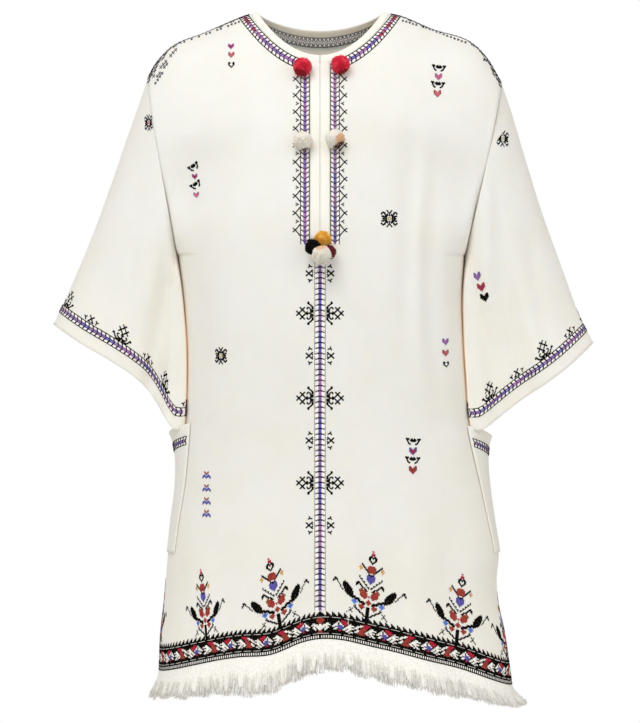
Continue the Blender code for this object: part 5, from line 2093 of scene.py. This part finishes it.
def fringe_frames(grid, normals, distance):
    """Place, outward, downward and along directions on a hem edge at distances along it."""
    arc = arc_lengths(grid[-1])
    down_line = unit(grid[-1] - grid[-3])
    root, out, down = (read_line(distance, arc, line) for line in (grid[-1], normals[-1], down_line))
    out = unit(out)
    return root, out, down, np.cross(down, out)


def hem_length(grid):
    return float(arc_lengths(grid[-1])[-1])


def fringe_reach(root):
    """Length of the fringe below each place on the hem edge."""
    side = np.where(root[:, 0] < 0.0, LEFT, RIGHT)
    across = np.clip(root[:, 0] / half_width(side, root[:, 2]), -1.0, 1.0)
    return FRINGE_CURVE(across)


def root_move(frames, reach, lean, sideways, share):
    """Points at a share of the way down yarns that lean out and drift sideways."""
    root, out, down, along = frames
    bend = lean * share ** 0.7
    step = (reach * share)[:, None]
    move = down * np.cos(bend)[:, None] * step + out * np.sin(bend)[:, None] * step
    return root + move + sideways[:, None] * along


def lock_wander(distance):
    """How far the locks stray from an even spacing, in locks."""
    return 0.35 * np.sin(distance * 0.045)


def lock_of(distance, layer):
    """Number of the lock that a yarn of a layer hangs in."""
    return np.floor(distance / LOCK_PITCH + 0.3 * layer + lock_wander(distance))


def fringe_heading(face, grid, normals, materials):
    """Brushed web of yarn that the loose ends of the fringe lie on, ragged at its foot."""
    length = hem_length(grid)
    count = int(length / HEADING_PITCH)
    distance = np.linspace(0.8, length - 0.8, count)
    frames = fringe_frames(grid, normals, distance)
    reach = fringe_reach(frames[0])
    lean = np.radians(flare_at(frames[0][:, 0]) + 1.0)
    lock = lock_of(distance, 0)
    within = distance / LOCK_PITCH + lock_wander(distance)
    notch = np.abs(within - np.floor(within) - 0.5) * 2.0
    luck = np.random.default_rng(81 + face)
    ragged = 0.84 + 0.07 * np.sin(lock * 1.7) - 0.32 * notch ** 4 + luck.normal(0.0, 0.02, count)
    sway = 0.035 * np.sin(1.9 * lock) * reach
    points = []
    for row in range(HEADING_ROWS + 1):
        share = row / HEADING_ROWS * ragged
        drift = sway * share ** 1.4 + 0.3 * np.sin(distance * 0.9 + row * 0.2) * share
        place = root_move(frames, reach, lean, drift, share)
        ripple = (0.35 * np.sin(distance * 1.9 + 2.0 * share) + 0.25 * np.sin(distance * 0.62)) * share
        ripple = ripple - 0.9 * notch ** 6 * share
        points.append(place + frames[1] * (0.1 + ripple)[:, None])
    points = np.array(points)
    outward = grid_normals(points, -1.0)
    name = f"fringe_{FACE_NAMES[face]}_heading"
    return cloth_piece(name, points, outward, materials, thickness=HEADING_THICKNESS)


def fringe_piece(face, grid, normals, materials):
    """Cut yarns hung close together under a hem edge, gathered loosely in locks."""
    luck = np.random.default_rng(71 + face)
    length = hem_length(grid)
    count = int(length / YARN_PITCH)
    steps = np.linspace(0.0, 1.0, YARN_SEGMENTS + 1)
    paths = []
    widths = []
    for layer, (start_share, lift) in enumerate(YARN_LAYERS):
        distance = np.linspace(1.0, length - 1.0, count) + luck.uniform(-0.3, 0.3, count)
        frames = fringe_frames(grid, normals, distance)
        lock = lock_of(distance, layer)
        middle = (lock + 0.5 - 0.3 * layer - lock_wander(distance)) * LOCK_PITCH
        to_lock = np.clip(middle - distance, -LOCK_PITCH, LOCK_PITCH)
        reach = fringe_reach(frames[0]) * (0.965 + 0.05 * np.sin(lock * 2.1) + 0.03 * np.sin(lock * 0.74))
        reach = reach - 0.10 * np.abs(to_lock) ** 1.5 + luck.normal(0.0, 0.9, count)
        lean = flare_at(frames[0][:, 0]) + 2.0 * np.sin(2.7 * lock) + luck.normal(0.0, 0.9, count)
        lean = np.radians(np.maximum(lean + 1.0 * (1 - layer), -4.0))
        sway = (0.04 * np.sin(1.9 * lock) + luck.normal(0.0, 0.016, count)) * reach
        gather = to_lock * luck.uniform(0.15, 0.5, count)
        first = np.maximum(start_share + luck.uniform(-0.12, 0.12, count), 0.0)
        line = np.zeros((count, len(steps), 3))
        for index, step in enumerate(steps):
            share = first + (1.0 - first) * step
            curl = 0.3 * np.sin(6.0 * share + distance * 1.7) * share
            drift = sway * share ** 1.4 + gather * share ** 1.6 + curl
            line[:, index] = root_move(frames, reach, lean, drift, share)
        width = YARN_WIDTH * luck.uniform(0.85, 1.2, count)[:, None] * (1.0 - 0.3 * steps[None] ** 3)
        width[:, 0] *= 0.3 if start_share > 0.0 else 1.0
        paths.append(line + frames[1][:, None] * lift)
        widths.append(width)
    vertices, faces = strand_mesh(np.concatenate(paths), np.concatenate(widths))
    return new_object(f"fringe_{FACE_NAMES[face]}_yarns", vertices, faces, materials)


def ball_of(node):
    """Middle and radius of the solid of a pompom."""
    low, high = (np.array(corner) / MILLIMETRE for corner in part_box(node))
    return (low + high) / 2.0, float(np.max(high - low)) / 2.0


def pompom_piece(node, yarns, seed):
    """Ball of cut yarn: short fine strands of mixed tones standing out all round a core; on some balls the
    strands facing down carry painted shade.
    """
    centre, radius = ball_of(node)
    strands = POMPOM_STRANDS
    luck = np.random.default_rng(seed)
    golden = math.pi * (3.0 - math.sqrt(5.0))
    step = np.arange(strands)
    height = 1.0 - (2.0 * step + 1.0) / strands
    ring = np.sqrt(1.0 - height ** 2)
    direction = np.stack([ring * np.cos(golden * step), ring * np.sin(golden * step), height], axis=1)
    direction = unit(direction + luck.normal(0.0, 0.05, direction.shape))
    inward = np.clip(direction[:, 1], 0.0, 1.0)
    clump = np.sin(direction @ np.array([4.2, 2.0, 3.1]) + seed)
    clump = clump + np.sin(direction @ np.array([-2.6, 3.4, 5.2]) + 2.0 * seed)
    length = 0.935 + 0.022 * clump + luck.normal(0.0, 0.014, strands)
    length = radius * length * (1.0 - 0.13 * inward ** 2)
    bend = luck.normal(0.0, 0.05, direction.shape)
    paths = np.stack([
        centre + (direction + bend * share ** 2) * (length * share)[:, None]
        for share in STRAND_SHARES
    ], axis=1)
    widths = np.tile([STRAND_WIDTHS], (strands, 1)) * luck.uniform(0.8, 1.2, strands)[:, None]
    vertices, faces = strand_mesh(paths, widths)
    slots = np.zeros(strands, int)
    # Strands in random clumps, or those facing one way, take the other yarns; the darker yarns on strands
    # facing down are painted shade on the lower side of the ball.
    for number, (_, way, limit) in enumerate(yarns[1:], 1):
        if way is None:
            chosen = clump * 0.5 + luck.normal(0.0, 0.3, strands) < limit
        else:
            chosen = direction @ unit(np.array(way)) + luck.normal(0.0, 0.04, strands) > limit
        slots[chosen] = number
    sides = (len(faces) - strands) // strands
    materials = [YARN_MATERIALS[name] for name, _, _ in yarns]
    return new_object(f"{node}_yarn", vertices, faces, materials,
                      np.concatenate([np.repeat(slots, sides), slots]))


def pompom_core(node, material):
    """Rounded heart of a pompom, behind its strands."""
    centre, radius = ball_of(node)
    rows = 12
    columns = 20
    vertices = []
    for row in range(rows + 1):
        polar = math.pi * row / rows
        for column in range(columns):
            turn = 2.0 * math.pi * column / columns
            uneven = 1.0 + 0.03 * math.sin(5.0 * turn + 3.0 * polar)
            vertices.append(centre + radius * CORE_SHARE * uneven * np.array([
                math.sin(polar) * math.cos(turn), math.sin(polar) * math.sin(turn), math.cos(polar)]))
    return new_object(f"{node}_core", np.array(vertices), ring_faces(rows + 1, columns), [material])


# Assembly


def first_slit_column():
    """Column of the front panel's grid that lies on the left edge of the slit."""
    return sum(HALF_CELLS[FRONT])


def build_panels():
    """The front and back panels, each with its grid of points and directions."""
    first = first_slit_column()

    def in_slit(row, column):
        return row < SLIT_ROWS and first <= column < first + SLIT_CELLS

    grids = {}
    for face, name in FACE_NAMES.items():
        points, normals = panel_grid(face)
        skip = in_slit if face == FRONT else None
        thing = cloth_piece(f"{name}_cloth", points, normals, [CREPE], skip=skip)
        if face == FRONT:
            # Faces of the front beside each sleeve get the painted warm shade and painted glow.
            for side in (LEFT, RIGHT):
                paint_gap_shade_and_glow(thing, side, "body")
        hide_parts(name)
        grids[face] = (thing, points, normals)
    return grids


def neck_rows(face, xs):
    """Edge and seam points of the neckband over places on the neck seam."""
    edge_x = np.where(np.abs(xs) <= SLIT_HALF, xs, xs * NECK_HALF / NECK_SEAM_HALF)
    seam_z = neck_height(face, xs, NECK_SEAM_HALF)
    edge_z = neck_height(face, edge_x, NECK_HALF)
    seam = panel_points(face, xs, seam_z)
    edge = panel_points(face, edge_x, edge_z)
    ends = np.abs(np.abs(xs) - NECK_SEAM_HALF) < 0.01
    seam[ends, 1] = 0.0
    edge[ends, 1] = 0.0
    edge[ends, 2] = NECK_TOP
    edge[ends, 0] = np.sign(xs[ends]) * NECK_HALF
    return edge, seam + unit(edge - seam) * NECK_GAP


def build_neckband():
    """The cream band round the neck edge, from one side of the slit round the back to the other."""
    angles = np.linspace(math.asin(SLIT_PARTING / NECK_SEAM_HALF), math.pi / 2.0, 64)
    front_x = NECK_SEAM_HALF * np.sin(angles)
    back_x = NECK_SEAM_HALF * np.sin(np.linspace(math.pi / 2.0, -math.pi / 2.0, 90)[1:-1])
    parts = (
        neck_rows(FRONT, front_x),
        neck_rows(BACK, back_x),
        neck_rows(FRONT, -front_x[::-1]),
    )
    edge = np.concatenate([part[0] for part in parts])
    seam = np.concatenate([part[1] for part in parts])
    middle = (edge + seam) / 2.0
    outward = unit(np.cross(edge - seam, np.gradient(middle, axis=0)))
    if float(np.sum(outward * (middle - NECK_INSIDE))) < 0.0:
        outward = -outward
    thing = band_piece("neckband_binding", edge, seam, outward, [BAND])
    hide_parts("neckband")
    return thing


def build_placket(side, front_normals):
    """One of the two strips that finish the slit and meet at its middle."""
    column = first_slit_column() + (0 if side == LEFT else SLIT_CELLS)
    rows = []
    share = (1.0 - np.cos(np.linspace(0.0, math.pi, ARMHOLE_ROWS + 1)))[:SLIT_ROWS + 1] / 2.0
    for out in (SLIT_HALF - SEAM_GAP, SLIT_TOUCH):
        x = np.full(share.shape, side * out)
        height = mix(neck_height(FRONT, x, NECK_SEAM_HALF), UNDERARM, share)
        height[-1] = mix(float(neck_height(FRONT, side * SLIT_HALF, NECK_SEAM_HALF)), UNDERARM, share[-1])
        height[-1] += SEAM_GAP
        rows.append(panel_points(FRONT, x, height))
    outward = front_normals[:SLIT_ROWS + 1, column]
    name = f"placket_{SIDE_NAMES[side]}"
    thing = band_piece(f"{name}_band", rows[0], rows[1], outward, [BAND])
    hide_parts(name)
    return thing


def build_sleeve(side):
    """Shell of one sleeve, open at the armhole and the cuff."""
    points, normals = sleeve_grid(side)
    name = f"sleeve_{SIDE_NAMES[side]}"
    thing = cloth_piece(f"{name}_cloth", points, normals, [CREPE], loop=True)
    # Faces of the sleeve beside the body get the painted warm shade and painted glow.
    paint_gap_shade_and_glow(thing, side, "sleeve")
    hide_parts(name)
    return thing


def paint_gap_shade_and_glow(thing, side, chosen_part):
    """Give the cloth with painted warm shade and a painted glow to the faces between a sleeve and the side
    of the body.
    """
    polygons = thing.data.polygons

    def read(name, width, kind):
        values = np.zeros(len(polygons) * width, kind)
        polygons.foreach_get(name, values)
        return values

    centres = read("center", 3, float).reshape(-1, 3) / MILLIMETRE
    out = side * read("normal", 3, float).reshape(-1, 3)[:, 0]
    slots = read("material_index", 1, np.int32)
    height = centres[:, 2]
    chosen = (height < UNDERARM - GAP_BELOW_UNDERARM) & (centres[:, 1] < 0.0)
    if chosen_part == "sleeve":
        off = side * centres[:, 0] - half_width(side, height)
        chosen = chosen & (np.abs(off) < GAP_SLEEVE_REACH) & (out < GAP_SLEEVE_TURN)
    else:
        chosen = chosen & (height > GAP_FOOT) & (out > GAP_BODY_TURN)
    if len(thing.data.materials) < 2:
        thing.data.materials.append(PAINTED_GAP_SHADE_CREPE)
    # These faces get the painted warm shade and painted glow of the gap.
    slots[chosen] = 1
    polygons.foreach_set("material_index", slots)


def build_pocket(side):
    """Shell of one patch pocket, standing off the side seam at its mouth."""
    shares = np.linspace(0.0, 1.0, POCKET_ACROSS + 1)
    downs = np.linspace(0.0, 1.0, POCKET_DOWN + 1) ** 1.25
    points = pocket_points(side, shares[None, :], downs[:, None])
    if side == LEFT:
        points = points[:, ::-1]
    normals = grid_normals(points, -1.0)
    name = f"pocket_{SIDE_NAMES[side]}"
    thing = cloth_piece(f"{name}_cloth", points, normals, [CREPE], thickness=POCKET_CLOTH)
    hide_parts(name)
    return thing


POMPOM_YARNS = {
    "pompom_neck_left": (
        ("red", None, 0.0),
        ("red_light", None, -0.2),
        # Painted shade: darker red on the lower left of the ball
        ("red_painted_shade", (-0.35, -0.45, -0.85), 0.72),
    ),
    "pompom_neck_right": (
        ("red", None, 0.0),
        ("red_light", None, -0.2),
        # Painted shade: darker red on the lower side of the ball
        ("red_painted_shade", (0.3, -0.2, -0.95), 0.8),
    ),
    "pompom_middle_left": (
        ("cream", None, 0.0),
        ("cream_shade", None, -0.55),
        # Painted shade: near-black umber on the underside of the ball
        ("umber_painted_shade", (0.25, -0.2, -1.0), 0.93),
    ),
    "pompom_middle_right": (
        ("cream", None, 0.0),
        ("cream_shade", None, -0.8),
        ("peach", (1.0, -0.55, -0.3), 0.55),
        # Painted shade: near-black umber on the lower right of the ball
        ("umber_painted_shade", (0.5, -0.35, -0.85), 0.8),
    ),
    "pompom_foot_gold": (("gold", None, 0.0), ("gold_light", None, -0.35)),
    "pompom_foot_black": (("black", None, 0.0), ("black_light", None, -0.6)),
    "pompom_foot_dark_red": (("dark_red", None, 0.0), ("dark_red_deep", None, -0.4)),
    "pompom_foot_cream": (
        ("cream", None, 0.0),
        ("cream_shade", None, -0.5),
        ("peach", (-0.1, -0.35, 1.0), 0.86),
    ),
}


def build_pompoms():
    """The eight pompoms, each a ball of strands with its core."""
    pieces = []
    for number, (node, yarns) in enumerate(POMPOM_YARNS.items()):
        thing = pompom_piece(node, yarns, POMPOM_SEED + number)
        main_yarn = yarns[0][0]
        core = pompom_core(node, YARN_MATERIALS[main_yarn])
        core.parent = thing
        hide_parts(node)
        pieces.append(thing)
    return pieces


def build_camera():
    """Camera straight in front, whose frame is the whole picture at the scale of PIXEL."""
    camera = bpy.data.objects.new("camera", bpy.data.cameras.new("camera"))
    camera.location = (0.0, -CAMERA_DISTANCE * MILLIMETRE, CAMERA_HEIGHT * MILLIMETRE)
    camera.rotation_euler = (math.pi / 2.0, 0.0, 0.0)
    camera.data.sensor_width = SENSOR
    camera.data.lens = SENSOR * CAMERA_DISTANCE / (PICTURE_HEIGHT * PIXEL)
    camera.data.clip_end = 50.0
    bpy.context.scene.collection.objects.link(camera)
    bpy.context.scene.camera = camera


Softbox = namedtuple("Softbox", "name place size power")
SOFTBOXES = (
    Softbox("key", (-0.5, -1.9, 1.1), 1.3, 31.0),
    Softbox("fill", (1.9, -1.9, 0.7), 2.0, 11.0),
)
WORLD_LIGHT = 0.62
WORLD_TONE = (1.0, 0.955, 0.895)
FLOOR_HEIGHT = -1.26
FLOOR_REACH = 1.9
FLOOR_CORNERS = 48


def build_lights():
    """Softboxes, and a plain white studio whose own light is warm and weaker than it looks."""
    world = bpy.data.worlds.new("studio")
    world.use_nodes = True
    tree = world.node_tree
    dim = tree.nodes["Background"]
    dim.inputs["Color"].default_value = (*WORLD_TONE, 1.0)
    dim.inputs["Strength"].default_value = WORLD_LIGHT
    white = tree.nodes.new("ShaderNodeBackground")
    white.inputs["Color"].default_value = (1.0, 1.0, 1.0, 1.0)
    blend = tree.nodes.new("ShaderNodeMixShader")
    rays = tree.nodes.new("ShaderNodeLightPath")
    link(tree, rays.outputs["Is Camera Ray"], blend.inputs[0])
    link(tree, dim.outputs[0], blend.inputs[1])
    link(tree, white.outputs[0], blend.inputs[2])
    link(tree, blend.outputs[0], tree.nodes["World Output"].inputs["Surface"])
    bpy.context.scene.world = world
    for softbox in SOFTBOXES:
        light = bpy.data.lights.new(softbox.name, "AREA")
        light.size = softbox.size
        light.energy = softbox.power
        lamp = bpy.data.objects.new(softbox.name, light)
        lamp.location = softbox.place
        aim = Vector((0.0, 0.0, -0.15)) - Vector(softbox.place)
        lamp.rotation_euler = aim.to_track_quat("-Z", "Y").to_euler()
        bpy.context.scene.collection.objects.link(lamp)


def build_floor():
    """Round pale floor, far below the hem."""
    mesh = bpy.data.meshes.new("studio_floor")
    turns = [2.0 * math.pi * step / FLOOR_CORNERS for step in range(FLOOR_CORNERS)]
    corners = [(FLOOR_REACH * math.cos(turn), FLOOR_REACH * math.sin(turn), FLOOR_HEIGHT) for turn in turns]
    mesh.from_pydata(corners, [], [tuple(range(FLOOR_CORNERS))])
    material, _, shader, _ = start_material("pale_floor", 0.9)
    shader.inputs["Base Color"].default_value = (0.92, 0.92, 0.92, 1.0)
    mesh.materials.append(material)
    floor = bpy.data.objects.new("studio_floor", mesh)
    bpy.context.scene.collection.objects.link(floor)


CREPE = crepe("cream_crepe", CREAM)
PAINTED_GAP_SHADE_CREPE = painted_gap_shade_crepe("cream_crepe_painted_gap_shade_and_glow")
BAND = crepe("cream_binding", BAND_CREAM)
THREAD_MATERIALS = {letter: thread(name, colour) for letter, (name, colour) in THREADS.items()}
YARN_MATERIALS = {name: yarn(f"yarn_{name}", colour) for name, colour in YARNS.items()}


def embroider_panels(grids_by_face):
    """Threads of the front and the back, by face."""
    body = {face: body_patch(face) for face in grids_by_face}
    neck = {face: neck_patch(face) for face in grids_by_face}
    hems = {}
    reaches = {}
    for face, panel in body.items():
        arcs, heights = hem_edge_on(face)
        hems[face] = HemPatch(panel, arcs, heights)
        reaches[face] = (float(arcs[0]), float(arcs[-1]))
    seen = [body[FRONT].seen_at(x, y)[0] for x, y in TREES_SEEN]
    front_places = [seen[0] - TREE_PITCH * 0.96, *seen, seen[3] + TREE_PITCH * 0.92]
    back_places = [TREE_PITCH * (number - 2.5) for number in range(6)]

    front = embroider_front(body[FRONT], neck[FRONT], hems[FRONT])
    front.append(embroider_border(hems[FRONT], "embroidery_border_front", reaches[FRONT], 15))
    front.append(embroider_trees(
        body[FRONT], hems[FRONT], "embroidery_trees_front", front_places, TREE_WIDTHS, reaches[FRONT], 16))
    front.append(embroider_armhole_lace(body[FRONT]))
    back = embroider_back_neck(neck[BACK])
    back.append(embroider_back(body[BACK]))
    back.append(embroider_border(hems[BACK], "embroidery_border_back", reaches[BACK], 17))
    back.append(embroider_trees(
        body[BACK], hems[BACK], "embroidery_trees_back", back_places, (1.0,) * 6, reaches[BACK], 18))
    for side in (LEFT, RIGHT):
        front.append(embroider_shoulder(FRONT, side, shoulder_patch(FRONT, side)))
        back.append(embroider_shoulder(BACK, side, shoulder_patch(BACK, side)))
    return front, back


def build_fringes(grids):
    """Yarns and heading of each fringe, by face."""
    fringes = {}
    for face, name in FACE_NAMES.items():
        _, points, normals = grids[face]
        yarns = fringe_piece(face, points, normals, [YARN_MATERIALS["fringe"]])
        heading = fringe_heading(face, points, normals, [YARN_MATERIALS["fringe"]])
        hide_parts(f"fringe_{name}")
        fringes[face] = [yarns, heading]
    return fringes


def main():
    bpy.context.scene.view_settings.view_transform = "Standard"
    build_camera()
    build_lights()
    build_floor()

    grids = build_panels()
    neckband = build_neckband()
    plackets = {side: build_placket(side, grids[FRONT][2]) for side in (LEFT, RIGHT)}
    sleeves = {side: build_sleeve(side) for side in (LEFT, RIGHT)}
    pockets = {side: build_pocket(side) for side in (LEFT, RIGHT)}
    fringes = build_fringes(grids)
    pompoms = build_pompoms()
    front_threads, back_threads = embroider_panels(grids)
    sleeve_threads = {side: embroider_sleeve(side, sleeve_patch(side)) for side in (LEFT, RIGHT)}
    pocket_threads = {side: embroider_pocket(side, pocket_patch(side)) for side in (LEFT, RIGHT)}

    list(front_threads)
    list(back_threads)


main()
